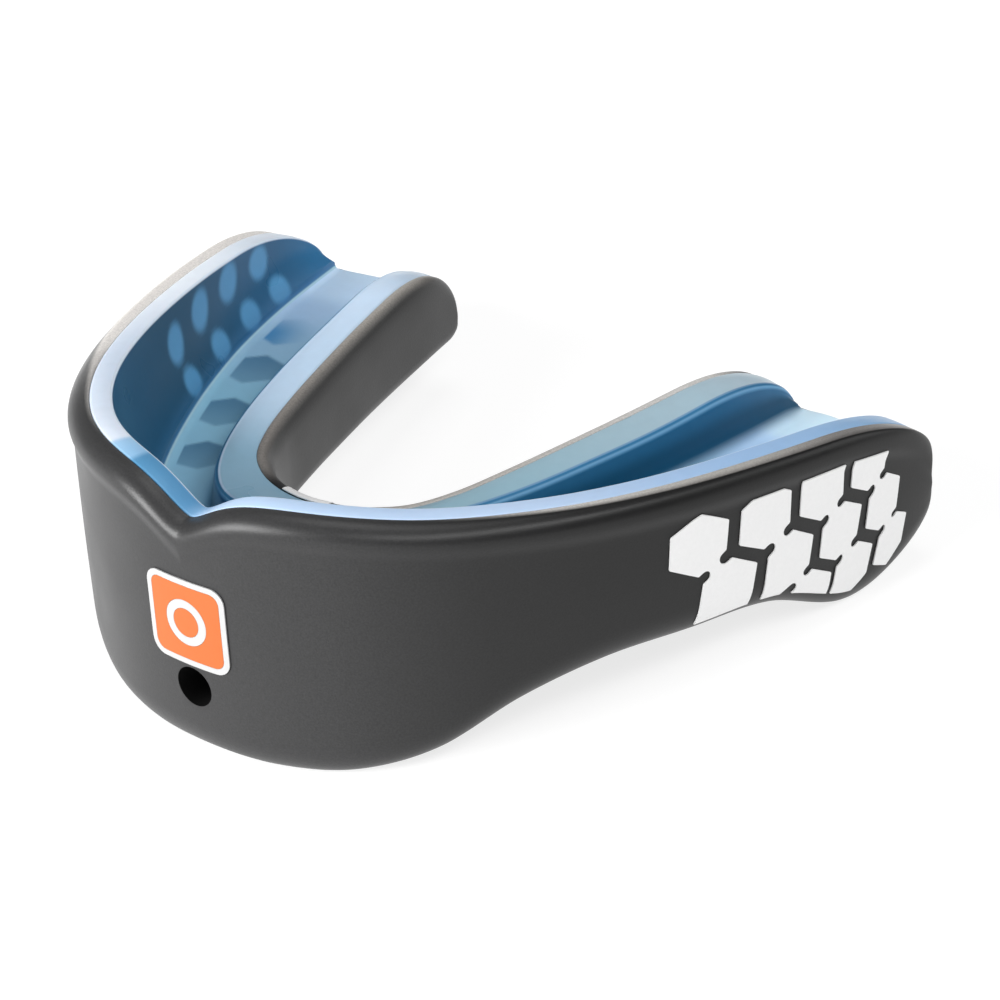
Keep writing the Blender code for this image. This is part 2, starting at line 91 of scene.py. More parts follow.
# ---- what the fine surfaces add ----
SEAM = 0.012
LAND_WIDTH = (0.1, 0.1, 0.1, 0.12, 0.3, 0.55, 0.75, 0.88, 0.95, 0.95)
BEAD_OUT = 0.26
BEAD_ROUND = 1.25
BEAD_DEPTH = 2.5
BEAD_SHARE = 0.45
BEAD_FULL_HEIGHT = 6
LAND_CLEARANCE = 0.3
NOTCH_CREASE = 0.6
NOTCH_CREASE_WIDTH = 1.3
LIP_LAND = 0.3
LIP_ROUND = 1.6
RIM_GEL_ROUND = 0.22
FOOT_ROUND = 0.8
WALL_BOW = 0.35
LIP_FOOT_ROUND = 1.1
LIP_EDGE_ROUND = 0.55
LIP_CROWN = 0.12

# ---- the arm ends: rounding radii, how much of them is drawn in, and the points spared at a seam ----
GUARD_END = 0.4
LINER_END = 0.25
END_DRAW = 0.85
END_SEAM = 5
END_SWEEP = 0.013
LIP_TAPER_EARLY = 0.003
END_LIFT = 0.55
END_LIFT_REACH = 1.6
SWEEP_START = 0.74
SWEEP_OFFSETS = (-8.0, -12.5)
EARLY_FROM = 0.68
EARLY_FULL = 0.86


def srgb(r, g, b):
    """Linear colour of an 8-bit display colour."""
    def lin(v):
        v = v / 255
        return v / 12.92 if v <= 0.04045 else ((v + 0.055) / 1.055) ** 2.4

    return (lin(r), lin(g), lin(b))


def lerp(a, b, t):
    return a + (b - a) * t


def mix(a, b, t):
    return tuple(x + (y - x) * t for x, y in zip(a, b))


def smooth(edge0, edge1, x):
    """0 at edge0, 1 at edge1, and an S curve between; edge0 may be the larger."""
    t = min(1.0, max(0.0, (x - edge0) / (edge1 - edge0)))
    return t * t * (3 - 2 * t)


def table(values, u):
    """Smooth Catmull-Rom reading of evenly spaced values (0.1 apart) at |u|."""
    x = min(abs(u) / 0.1, len(values) - 1.001)
    i = int(x)
    f = x - i
    p1 = values[i]
    p2 = values[i + 1]
    p0 = values[i - 1] if i > 0 else values[1]
    p3 = values[i + 2] if i + 2 < len(values) else 2 * p2 - p1
    m1 = (p2 - p0) / 2
    m2 = (p3 - p1) / 2
    h = f * f * (3 - 2 * f)
    return p1 + (p2 - p1) * h + m1 * (f - 2 * f * f + f**3) + m2 * (f**3 - f * f)


def arch(u):
    """Point and outward normal of the rim line at u; negative u is the mirrored arm."""
    t = abs(u)
    a = 3 * t * (1 - t) ** 2
    b = 3 * t * t * (1 - t)
    c = t**3
    x = a * ARCH_PULL_FRONT + b * ARCH_PULL_SIDE[0] + c * ARCH_HALF_WIDTH
    y = b * ARCH_PULL_SIDE[1] + c * ARCH_LENGTH
    da = 3 * (1 - t) ** 2
    db = 6 * t * (1 - t)
    dc = 3 * t * t
    dx = da * ARCH_PULL_FRONT + db * (ARCH_PULL_SIDE[0] - ARCH_PULL_FRONT)
    dx += dc * (ARCH_HALF_WIDTH - ARCH_PULL_SIDE[0])
    dy = db * ARCH_PULL_SIDE[1] + dc * (ARCH_LENGTH - ARCH_PULL_SIDE[1])
    size = math.hypot(dx, dy)
    side = -1.0 if u < 0 else 1.0
    return (x * side, y), (dy / size * side, -dx / size)


STAND = Matrix.Translation((0, BACK, LIFT)) @ Matrix.Rotation(-PITCH, 4, "X")


def place(u, offset, z):
    """Row-frame point in metres at u, offset out of the rim line and z over the bite floor."""
    p, n = arch(u)
    return (STAND @ Vector((p[0] + n[0] * offset, p[1] + n[1] * offset, z))) * MM


def taper(u):
    """1 along the arm, falling to 0 at its end on a rounded curve."""
    t = (abs(u) - TAPER_START) / (ARM_END - TAPER_START)
    if t <= 0:
        return 1.0
    return math.sqrt(max(0.0, 1.0 - t**2.2))


def rim(u):
    """Height of the outer wall's rim, with the notch at the front."""
    x = arch(u)[0][0]
    top = table(RIM_HEIGHT, u) - NOTCH_DEPTH * math.exp(-abs(x / NOTCH_WIDTH) ** 1.5)
    return RIM_END + (top - RIM_END) * taper(u)


def skirt(u):
    """Height of the outer wall's lower edge."""
    return SKIRT_END + (table(SKIRT_DEPTH, u) - SKIRT_END) * taper(u) ** 1.2


def lip_taper(u):
    """As taper(), a little earlier: the inner lip ends before the outer wall."""
    return taper(abs(u) + LIP_TAPER_EARLY * smooth(EARLY_FROM, EARLY_FULL, abs(u)))


def lip_low(u):
    """Height of the guard's land on the inner lip."""
    return LAND_END + (table(LINGUAL_RIM, u) - LAND_END) * lip_taper(u)


def lip_high(u):
    """Height of the gel at the inner lip's crest."""
    return RIM_END + (table(LINGUAL_LIP, u) - RIM_END) * lip_taper(u)


def swept(u, offset):
    """u for a point at this offset: the inner corner of each arm's end is rounded back."""
    share = smooth(SWEEP_START, ARM_END, abs(u)) * smooth(*SWEEP_OFFSETS, offset)
    return u * (1 - END_SWEEP * share)


def end_closing(u):
    """0 along the arm and 1 in its last stretch, where liner and guard close over the core's space."""
    left = arc_at(ARM_END, RIM_ARC) - abs(arc_at(u, RIM_ARC))
    return smooth(1.0, 0.7, left)


def gel_back(u, z):
    """Offset of the liner's outer face at height z."""
    foot = table(FLOOR_EDGE, u) + 1.2
    t = min(1.0, max(0.0, z / rim(u)))
    return lerp(foot, -0.15, t)


def arc_table(offset, steps=1200):
    """u values and the arc length at each, along a line at this offset."""
    us = np.linspace(0.0, 1.0, steps + 1)
    pts = []
    for u in us:
        p, n = arch(u)
        pts.append((p[0] + n[0] * offset, p[1] + n[1] * offset))
    run = np.concatenate(([0.0], np.cumsum(np.hypot(*np.diff(np.array(pts), axis=0).T))))
    return us, run


RIM_ARC = arc_table(0.0)
WALL_ARC = arc_table(GUARD_OUT)


def u_at(s, arcs):
    """u at arc length s from the front; negative on the mirrored arm."""
    u = float(np.interp(abs(s), arcs[1], arcs[0]))
    return -u if s < 0 else u


def arc_at(u, arcs):
    """Arc length from the front at u; negative on the mirrored arm."""
    s = float(np.interp(abs(u), arcs[0], arcs[1]))
    return -s if u < 0 else s


# ---- stations along the arch ----
def stations(spacing=0.28, fine=0.09, fine_reach=2.6):
    """u values, closer together over the notch and towards the arm's rear end."""
    total = arc_at(ARM_END, RIM_ARC)
    runs = [0.0]
    while runs[-1] < total - 0.02:
        s = runs[-1]
        step = fine if s < fine_reach else spacing
        step = min(step, max(0.03, (total - s) * 0.12))
        runs.append(s + step)
    runs[-1] = total
    half = [u_at(s, RIM_ARC) for s in runs]
    half[-1] = ARM_END
    return [-u for u in half[:0:-1]] + half


# ---- sections ----
class OuterWall:
    """Measures of the guard's outer wall at u: heights, offsets and the radii of its roundings."""

    def __init__(self, u):
        x = arch(u)[0][0]
        self.top = rim(u)
        self.foot = skirt(u)
        self.out = GUARD_OUT - OUT_TAPER * (1 - taper(u))
        self.tall = self.top - self.foot
        self.land = min(table(LAND_WIDTH, u), self.out - LAND_CLEARANCE)
        self.foot_round = min(SKIRT_ROUND, SKIRT_ROUND_SHARE * self.tall)
        crease = NOTCH_CREASE * math.exp(-abs(x) / NOTCH_CREASE_WIDTH)
        self.bead_depth = min(BEAD_DEPTH + crease, BEAD_SHARE * self.tall)
        self.bead_round = min(BEAD_ROUND, 0.5 * self.bead_depth)
        self.bead = self.out + BEAD_OUT * min(1.0, self.tall / BEAD_FULL_HEIGHT) * taper(u)


def bead_points(wall):
    """The land and the bead round the mouth edge, from the seam down to the plain wall."""
    top = wall.top
    pts = [(SEAM, top - 0.04), (SEAM + 0.03, top)]
    pts.append((lerp(SEAM, wall.land, 0.5), top + 0.01))
    for i in range(11):
        a = math.radians(90 - 9 * i)
        out = wall.land + (wall.bead - wall.land) * math.cos(a)
        pts.append((out, top - wall.bead_round * (1 - math.sin(a))))
    for i in range(1, 11):
        t = i / 10
        out = lerp(wall.bead, wall.out, 0.5 - 0.5 * math.cos(math.pi * t))
        pts.append((out, top - lerp(wall.bead_round, wall.bead_depth, t)))
    return pts


def wall_points(wall):
    """The slightly swollen outer wall and the rounding at its foot."""
    pts = []
    start = wall.top - wall.bead_depth
    centre = wall.foot + wall.foot_round
    for i in range(1, 15):
        t = i / 14
        pts.append((wall.out + WALL_SWELL * math.sin(math.pi * t), lerp(start, centre, t)))
    for i in range(1, 13):
        a = math.radians(7.5 * i)
        out = SKIRT_ROUND_CENTRE + (wall.out - SKIRT_ROUND_CENTRE) * math.cos(a)
        pts.append((out, centre - wall.foot_round * math.sin(a)))
    return pts


def lip_wall_points(u, base_in, low_lip):
    """The inner wall of the guard, up and over its rounded edge to the seam with the gel."""
    lip_out = table(LIP_OUTER, u)
    land_z = lip_low(u)
    pts = []
    round_h = min(LIP_ROUND, 0.6 * (land_z - low_lip))
    for i in range(1, 5):
        out = base_in - 0.03 * math.sin(math.pi * i / 5)
        pts.append((out, lerp(low_lip, land_z - round_h, i / 5)))
    edge = lip_out - LIP_LAND
    for i in range(11):
        a = math.radians(9 * i)
        pts.append((edge + (base_in - edge) * math.cos(a), land_z - round_h * (1 - math.sin(a))))
    pts.append((lip_out - 0.04, land_z))
    pts.append((lip_out - SEAM, land_z - 0.03))
    return pts


def guard_outline(u):
    """Guard section as (offset, z) points, from the land's inner edge round the outside."""
    wall = OuterWall(u)
    pts = bead_points(wall) + wall_points(wall)
    inner = wall.out - SKIRT_WALL
    base = BASE_BOTTOM + END_LIFT * end_inset(u, END_LIFT_REACH)
    shoulder = min(wall.foot + 0.8, base - 0.15)
    pts.append((inner + 1.1, wall.foot))
    pts += curve_corner((inner + 1.1, wall.foot), (inner, wall.foot), (inner, shoulder), 6)
    pts += curve_corner((inner, shoulder), (inner, base), (inner - 1.2, base), 6)
    base_in = table(LIP_OUTER, u) - LIP_WALL
    for share in (0.35, 0.7):
        pts.append((lerp(inner - 1.2, base_in + 1.0, share), base))
    low_lip = base + 1.1
    pts += curve_corner((base_in + 1.0, base), (base_in, base), (base_in, low_lip), 7)
    return pts + lip_wall_points(u, base_in, low_lip)


def curve_corner(a, corner, b, steps):
    """Quadratic corner from a to b, without a itself."""
    pts = []
    for i in range(1, steps + 1):
        t = i / steps
        k = (1 - t) ** 2
        m = 2 * t * (1 - t)
        pts.append(tuple(k * a[j] + m * corner[j] + t * t * b[j] for j in (0, 1)))
    return pts


def guard_inside(u):
    """The hidden inner faces, from the lingual seam back up to the rim seam."""
    rim_z = rim(u)
    lip_out = table(LIP_OUTER, u)
    room = lerp(CORE_THICK + 2 * GAP, 0.02, end_closing(u))
    foot = gel_back(u, 0.0) + room
    pts = [(lip_out - SEAM, BASE_TOP + 1.0)]
    pts.append((lip_out - 0.15, BASE_TOP + 0.7))
    pts.append((lip_out - 0.15, BASE_TOP))
    pts.append((lerp(lip_out, foot, 0.5), BASE_TOP))
    pts.append((foot, BASE_TOP))
    pts.append((foot + 0.04, 0.0))
    for share in (0.4, 0.84):
        pts.append((gel_back(u, share * rim_z) + room, share * rim_z))
    pts.append((SEAM, 0.92 * rim_z))
    return pts


def guard_section(u):
    return guard_outline(u) + guard_inside(u)


def rim_and_wall(u):
    """Tagged gel points over the rim, down the inside of the outer wall and round to the floor."""
    rim_z = rim(u)
    gel_in = -RIM_LINER_WIDTH - RIM_LINER_SPREAD * (1 - taper(u))
    grow = min(1.0, rim_z / 3.0)
    edge = RIM_GEL_ROUND * grow
    pts = [((-SEAM, rim_z - 0.05), "rim", 0.0)]
    for i in range(9):
        t = i / 8
        spot = (lerp(-SEAM - 0.05, gel_in + edge, t), rim_z + 0.04 * math.sin(math.pi * t))
        pts.append((spot, "rim", t))
    for i in range(1, 7):
        a = math.radians(15 * i)
        spot = (gel_in + edge - edge * math.sin(a), rim_z - edge * (1 - math.cos(a)))
        pts.append((spot, "edge", i / 6))
    foot_r = min(FOOT_ROUND, 0.45 * rim_z)
    foot = table(FLOOR_EDGE, u) - 0.1
    top = (gel_in, rim_z - edge)
    join = (foot - 0.05, foot_r)
    for i in range(1, 22):
        t = i / 21
        bow = WALL_BOW * math.sin(math.pi * t) * grow
        pts.append(((lerp(top[0], join[0], t) + bow, lerp(top[1], join[1], t)), "wall", t))
    end = (foot - foot_r, 0.0)
    for i, p in enumerate(curve_corner(join, (foot - 0.08, 0.0), end, 20)):
        pts.append((p, "junction", (i + 1) / 20))
    return pts


def floor_and_lip(u, start):
    """Tagged gel points from the floor's outer edge across it, up the inner lip and over its top."""
    lip_z = lip_high(u)
    land_z = lip_low(u)
    lip_in = table(LIP_INNER, u)
    lip_out = table(LIP_OUTER, u)
    pts = []
    lip_r = min(LIP_FOOT_ROUND, 0.45 * lip_z)
    lip_foot = (lip_in + 0.75 + lip_r, 0.0)
    for i in range(1, 25):
        t = i / 24
        pts.append(((lerp(start, lip_foot[0], t), 0.0), "floor", t))
    rise = (lip_in + 0.6, lip_r)
    for i, p in enumerate(curve_corner(lip_foot, (lip_in + 0.75, 0.0), rise, 8)):
        pts.append((p, "lip_foot", (i + 1) / 8))
    lip_edge = min(LIP_EDGE_ROUND, 0.4 * lip_z)
    high = (lip_in + 0.32, lip_z - lip_edge)
    for i in range(1, 8):
        t = i / 7
        pts.append(((lerp(rise[0], high[0], t), lerp(rise[1], high[1], t)), "lip_wall", t))
    crest = (lip_in - 0.3, lip_z)
    for i, p in enumerate(curve_corner(high, (lip_in + 0.24, lip_z), crest, 16)):
        pts.append((p, "lip_edge", (i + 1) / 16))
    far = (lip_out + SEAM + 0.1, land_z + 0.03)
    for i in range(1, 17):
        t = i / 16
        crown = LIP_CROWN * math.sin(math.pi * t)
        pts.append(((lerp(crest[0], far[0], t), lerp(crest[1], far[1], t) + crown), "lip_top", t))
    pts.append(((lip_out + SEAM, land_z - 0.04), "lip_top", 1.0))
    return pts


def liner_underside(u):
    """Tagged gel points of the hidden faces, from the lip's seam back to the rim's."""
    rim_z = rim(u)
    lip_in = table(LIP_INNER, u)
    lip_out = table(LIP_OUTER, u)
    low = lerp(-FLOOR_GEL, BASE_TOP + 0.02, end_closing(u))
    spots = [
        (lip_out + SEAM, BASE_TOP + 1.14),
        (lip_out + 0.3, low),
        (lerp(table(FLOOR_EDGE, u), lip_in, 0.5), low),
        (gel_back(u, 0.0), low),
        (gel_back(u, 0.0), 0.0),
    ]
    for share in (0.3, 0.6):
        spots.append((min(-0.1, gel_back(u, rim_z * share)), rim_z * share))
    spots.append((-SEAM, rim_z * 0.93))
    return [(spot, "under", 0.0) for spot in spots]


def liner_section(u):
    """Liner section with a tag for each point: what part of the gel it lies on and how far along."""
    pts = rim_and_wall(u)
    pts += floor_and_lip(u, pts[-1][0][0])
    return pts + liner_underside(u)


def core_section(u):
    """The hidden support between gel and guard: a floor plate with a wall sheet along its outer edge."""
    rim_z = rim(u)
    foot = gel_back(u, 0.0) + GAP
    plate = -FLOOR_GEL - GAP
    plate_in = table(LIP_OUTER, u) + 0.6
    pts = [(plate_in, plate), (foot, plate), (foot, 0.0)]
    pts += [(gel_back(u, share * rim_z) + GAP, share * rim_z) for share in (0.4, 0.8)]
    pts += [(gel_back(u, share * rim_z) + GAP + CORE_THICK, share * rim_z) for share in (0.8, 0.4)]
    pts += [(foot + CORE_THICK, 0.0), (foot + CORE_THICK, plate - CORE_THICK)]
    pts.append((plate_in, plate - CORE_THICK))
    return pts


# ---- lofting with rounded arm ends ----
def ring_inward(pts):
    """Unit vectors pointing into a closed section at each of its points."""
    n = len(pts)
    area = sum(pts[i][0] * pts[(i + 1) % n][1] - pts[(i + 1) % n][0] * pts[i][1] for i in range(n))
    turn = 1.0 if area > 0 else -1.0
    out = []
    for i in range(n):
        a = pts[i - 1]
        b = pts[(i + 1) % n]
        dx = b[0] - a[0]
        dz = b[1] - a[1]
        size = math.hypot(dx, dz) or 1.0
        out.append((-dz / size * turn, dx / size * turn))
    return out


def end_inset(u, radius):
    """How far a section draws in, mm, to round the arm's end with this radius."""
    left = arc_at(ARM_END, RIM_ARC) - abs(arc_at(u, RIM_ARC))
    if left >= radius:
        return 0.0
    return radius - math.sqrt(max(0.0, radius**2 - (radius - left) ** 2))


def add_object(name, data):
    obj = bpy.data.objects.new(name, data)
    bpy.context.scene.collection.objects.link(obj)
    return obj


def loft(name, section, end_radius, us, on_floor=False, outside=None):
    """Closed mesh through one section per station, drawn in at the arm's ends.

    Only the first `outside` points of a section are drawn in. Returns the object and its
    (u, offset, z, index) rows.
    """
    co = []
    rows = []
    count = 0
    for u in us:
        pts = section(u)
        count = len(pts)
        last = (outside or count) - 1
        inset = end_inset(u, end_radius) * END_DRAW
        inward = ring_inward(pts)
        for i, (o, z) in enumerate(pts):
            draw = inset * min(1.0, max(0, min(i, last - i)) / END_SEAM)
            o += inward[i][0] * draw
            z += inward[i][1] * draw
            p = place(swept(u, o), o, z)
            if on_floor:
                p.z = max(p.z, 0.0)
            co.append(p)
            rows.append((u, o, z, i))
    faces = []
    for k in range(len(us) - 1):
        for i in range(count):
            j = (i + 1) % count
            faces.append((k * count + i, k * count + j, (k + 1) * count + j, (k + 1) * count + i))
    first_cap = list(range(count))[::-1]
    last_cap = [(len(us) - 1) * count + i for i in range(count)]
    mesh = bpy.data.meshes.new(name)
    mesh.from_pydata(co, [], faces + [first_cap, last_cap])
    bm = bmesh.new()
    bm.from_mesh(mesh)
    bm.faces.ensure_lookup_table()
    bmesh.ops.triangulate(bm, faces=bm.faces[-2:])
    if bm.calc_volume(signed=True) < 0:
        bmesh.ops.reverse_faces(bm, faces=bm.faces)
    bm.to_mesh(mesh)
    bm.free()
    mesh.shade_smooth()
    return add_object(name, mesh), rows


# ---- colours ----
def along(stops, s):
    """Colour at arc length s from (arc, display colour) stops, with soft joins."""
    if s <= stops[0][0]:
        return srgb(*stops[0][1])
    for (s0, c0), (s1, c1) in zip(stops, stops[1:]):
        if s < s1:
            return mix(srgb(*c0), srgb(*c1), smooth(s0, s1, s))
    return srgb(*stops[-1][1])


# The gel rim's top along the arc: the gel's blue, with painted reflection in the paler and near-white
# stretches, strongest on the far arm.
RIM_TINT_AND_REFLECTION = (
    (-58, (214, 226, 240)),
    (-40, (232, 240, 250)),
    (-24, (206, 219, 236)),
    (-9.2, (214, 224, 238)),
    (-8.5, (150, 190, 222)),
    (-6.3, (140, 182, 216)),
    (-5.6, (82, 138, 178)),
    (-1, (90, 146, 188)),
    (2, (180, 204, 232)),
    (22, (184, 206, 234)),
    (42, (150, 183, 220)),
    (54, (140, 178, 216)),
    (58, (186, 206, 228)),
)
# The outer rim's land: a pale band, with painted reflection in its brightness along the arc, near-white on
# the far arm and as dark as the rubber at the front.
LAND_TINT_AND_SHEEN = (
    (-58, (226, 222, 218)),
    (-30, (222, 218, 214)),
    (-17, (150, 148, 146)),
    (-10, (60, 60, 61)),
    (16, (60, 60, 61)),
    (26, (190, 187, 183)),
    (38, (168, 165, 161)),
    (50, (122, 119, 117)),
    (58, (150, 148, 148)),
)
# The guard's inner lip land: a pale band, fading down over the rounding as a painted highlight.
LIP_LAND_AND_HIGHLIGHT_TINT = (
    (-58, (160, 156, 150)),
    (-20, (128, 124, 120)),
    (20, (168, 164, 160)),
    (58, (196, 194, 192)),
)
LIP_TINT = (
    (-58, (196, 208, 224)),
    (-50, (192, 208, 230)),
    (-30, (184, 204, 228)),
    (-14, (138, 176, 202)),
    (0, (126, 168, 196)),
    (24, (134, 168, 186)),
    (46, (148, 174, 190)),
    (56, (176, 198, 214)),
)
WALL_TINT = (
    (-58, (62, 116, 156)),
    (-50, (44, 94, 128)),
    (-34, (32, 78, 104)),
    (-16, (40, 86, 116)),
    (0, (58, 112, 150)),
    (16, (40, 86, 116)),
    (34, (32, 78, 104)),
    (50, (44, 94, 128)),
    (58, (62, 116, 156)),
)
FLOOR_TINT = (
    (0, (112, 160, 190)),
    (14, (122, 164, 188)),
    (34, (126, 170, 192)),
    (43, (132, 166, 190)),
    (50, (152, 178, 205)),
    (53, (175, 198, 222)),
    (58, (182, 202, 222)),
)
# painted sheen on the rubber of the far arm's outer bead
RUBBER_PAINTED_SHEEN = srgb(120, 120, 120)
LIP_WALL_DEEP = srgb(20, 74, 104)
LIP_WALL_TOP = srgb(44, 104, 142)
# painted soft highlight on the gel lip's edge rounding
LIP_EDGE_SOFT_HIGHLIGHT = srgb(104, 158, 196)
LIP_EDGE_LINE = srgb(52, 112, 152)
# painted highlight line at the gel lip's crest
LIP_EDGE_HIGHLIGHT_LINE = srgb(196, 218, 240)
END_TINT = srgb(150, 186, 212)
JUNCTION_GLOW = srgb(70, 122, 166)
JUNCTION_LINE = srgb(168, 206, 222)
# painted highlight along the gel rim's rounded inner edge
RIM_EDGE_HIGHLIGHT = srgb(222, 234, 248)
HEX_TINT = srgb(66, 106, 134)
HEX_REAR_TINT = srgb(68, 122, 164)
OVAL_TINT = srgb(116, 158, 196)
WALL_GAIN = (0.55, 0.95, 1.05)
FLOOR_GAIN = (1.32, 1.35, 1.36)
# painted light on the floor towards the near arm's rear
NEAR_FLOOR_PAINTED_LIGHT = 1.1
LIP_GAIN_NEAR = (1.1, 1.05, 1.0)
LIP_GAIN_FAR = (1.02, 1.06, 1.04)
RUBBER = (0.023, 0.023, 0.0235)
LIP_POINTS = 18
# painted light on the rubber: a highlight and a dark reflection band over the inner lip's edge, by points
# from the seam, and painted shade along the outer wall, by arc
LIP_PAINTED_REFLECTION = ((3, 2.2), (5, 2.0), (8, 0.35), (12, 0.15), (14, 0.7))
RUBBER_PAINTED_SHADE = ((-20, 1.5), (-4, 1.3), (10, 1.25), (20, 0.6), (34, 0.2))
HEX_PAD_ARC = (24.0, 31.5, 38.9, 45.6)
HEX_PAD_OFFSET = (-6.5, -6.4, -6.0, -5.7)
HEX_PAD_SIDE = 2.45
HEX_SOFT = 0.45
HEX_COVER = 0.92
HEX_LIGHT = 0.35
HEX_LIGHT_REACH = 2.5
HEX_FADE_OFFSETS = (-8.2, -4.4)
HEX_FADE_ARCS = (48.8, 44.8)
# the ovals as (arc, height, size), and the two half axes of one as (arc, height)
OVALS = (
    (33.6, 4.2, 1.0),
    (38.8, 4.45, 1.05),
    (43.8, 4.4, 1.0),
    (48.5, 3.9, 0.85),
    (33.0, 1.5, 0.74),
    (39.1, 1.5, 0.76),
    (44.5, 1.45, 0.76),
    (49.3, 1.4, 0.72),
)
OVAL_ACROSS = (1.08, -0.54)
OVAL_ALONG = (1.25, 1.15)
OVAL_COVER = 0.88


def hexagon_reach(x, y, side):
    """Signed distance, mm, inside a hexagon with corners along x."""
    x = abs(x)
    y = abs(y)
    flat = side * math.sqrt(3) / 2
    return min(flat - y, flat - (x * math.sqrt(3) / 2 + y / 2))


def floor_colour(s, o):
    """The bite floor's colour, with the hexagons that show through it; the rearmost one fades out."""
    base = along(FLOOR_TINT, abs(s))
    for arc, offset in zip(HEX_PAD_ARC, HEX_PAD_OFFSET):
        inside = hexagon_reach(abs(s) - arc, o - offset, HEX_PAD_SIDE)
        cover = smooth(-HEX_SOFT / 2, HEX_SOFT / 2, inside)
        if arc == HEX_PAD_ARC[-1]:
            fade = smooth(*HEX_FADE_OFFSETS, o) * smooth(*HEX_FADE_ARCS, abs(s))
            base = mix(base, HEX_REAR_TINT, cover * fade)
        else:
            light = smooth(-HEX_LIGHT_REACH, HEX_LIGHT_REACH, arc - abs(s)) * HEX_LIGHT
            base = mix(base, mix(HEX_TINT, base, light), cover * HEX_COVER)
    return base


def wall_colour(s, z):
    """The inner wall's colour, with the two rows of ovals that show through it."""
    base = along(WALL_TINT, s)
    ax, az = OVAL_ACROSS
    bx, bz = OVAL_ALONG
    turn = ax * bz - bx * az
    for arc, level, size in OVALS:
        ds = abs(s) - arc
        dz = z - level
        across = (ds * bz - dz * bx) / turn
        run = (dz * ax - ds * az) / turn / size
        base = mix(base, OVAL_TINT, OVAL_COVER * smooth(1.2, 0.7, math.hypot(across, run)))
    return base


def broken_line(stops, x):
    """Value at x on the broken line through (x, value) stops."""
    return float(np.interp(x, [a for a, _ in stops], [b for _, b in stops]))


def gain(colour, factors):
    """Colour times a factor for each channel, held to 1."""
    return tuple(min(1.0, c * k) for c, k in zip(colour, factors))


def liner_colour(u, o, z, tag, t):
    """Gel colour at a section point, from the part of the gel it lies on and how far along that part."""
    s = arc_at(u, RIM_ARC)
    wall = gain(wall_colour(s, z), WALL_GAIN)
    # painted light: the floor brighter towards the near arm's rear
    near = lerp(1.0, NEAR_FLOOR_PAINTED_LIGHT, smooth(40, 52, s))
    floor_gain = [k * near for k in FLOOR_GAIN]
    floor = gain(floor_colour(s, o), floor_gain)
    lip = gain(along(LIP_TINT, s), mix(LIP_GAIN_NEAR, LIP_GAIN_FAR, smooth(0, -30, s)))
    # the rim's top carries painted reflection along the arc
    if tag == "rim":
        return along(RIM_TINT_AND_REFLECTION, s)
    # the rim's inner rounding: rim colour turning into a painted highlight line, then the wall
    if tag == "edge":
        base = mix(along(RIM_TINT_AND_REFLECTION, s), RIM_EDGE_HIGHLIGHT, smooth(0.0, 0.4, t))
        return mix(base, wall, smooth(0.55, 1.0, t))
    if tag == "wall":
        return mix(wall, JUNCTION_GLOW, 0.35 * smooth(1.8, 0.7, z))
    if tag == "junction":
        base = mix(wall, JUNCTION_GLOW, 0.35 + 0.55 * smooth(0.0, 0.35, t))
        base = mix(base, gain(along(FLOOR_TINT, abs(s)), floor_gain), smooth(0.4, 0.55, t))
        return mix(base, JUNCTION_LINE, smooth(0.3, 0.42, t) * smooth(0.58, 0.46, t))
    if tag == "floor":
        return floor
    if tag == "lip_foot":
        return mix(floor, LIP_WALL_DEEP, smooth(0.0, 0.8, t))
    if tag == "lip_wall":
        return mix(LIP_WALL_DEEP, LIP_WALL_TOP, smooth(0.2, 1.0, t))
    if tag == "lip_edge":
        # the lip edge: a painted soft highlight, a dark line, then a painted highlight line, stronger on the
        # far arm
        base = mix(LIP_WALL_TOP, LIP_EDGE_SOFT_HIGHLIGHT, smooth(0.05, 0.35, t))
        base = mix(base, LIP_EDGE_LINE, smooth(0.4, 0.55, t))
        base = mix(base, LIP_EDGE_HIGHLIGHT_LINE, smooth(0.68, 0.76, t) * lerp(0.2, 0.9, smooth(4, -12, s)))
        return mix(base, lip, smooth(0.84, 0.95, t))
    if tag == "lip_top":
        return lip
    return END_TINT


def guard_colour(u, index):
    """Rubber colour at a section point: pale on the rim's land and the inner lip's, dark elsewhere, with
    painted shade along the outer wall, painted sheen on the far arm's bead and a painted highlight and dark
    reflection over the inner lip's edge.
    """
    s = arc_at(u, RIM_ARC)
    # painted shade: the outer wall lighter at the front and darker towards the near arm's rear
    rubber = gain(RUBBER, [broken_line(RUBBER_PAINTED_SHADE, s)] * 3)
    # painted sheen: the far arm's bead lightened towards grey
    rubber = mix(rubber, RUBBER_PAINTED_SHEEN, smooth(-14, -30, s) * smooth(24, 13, index))
    if index < OUTLINE_COUNT - LIP_POINTS:
        # on the far arm the land's colour reaches further down over the bead, as painted sheen
        pale = lerp(3.0, 6.4, smooth(-18, -32, s))
        return mix(along(LAND_TINT_AND_SHEEN, s), rubber, smooth(pale - 0.9, pale + 0.9, index))
    if index < OUTLINE_COUNT:
        left = OUTLINE_COUNT - 1 - index
        cover = smooth(6, 14, abs(s)) * smooth(56, 50, abs(s))
        # painted highlight and dark reflection band over the inner lip's rounded edge, away from the front
        # and the arm's end
        rubber = gain(RUBBER, [lerp(1.0, broken_line(LIP_PAINTED_REFLECTION, left), cover)] * 3)
        # the lip's pale land fades over the rounding as a painted highlight band
        return mix(rubber, along(LIP_LAND_AND_HIGHLIGHT_TINT, s), cover * smooth(7.5, 2.2, left))
    return rubber


def paint(obj, colours):
    """Point colour attribute that the piece's material reads."""
    layer = obj.data.attributes.new("paint", "FLOAT_COLOR", "POINT")
    data = np.ones((len(colours), 4), np.float32)
    data[:, :3] = colours
    layer.data.foreach_set("color", data.ravel())


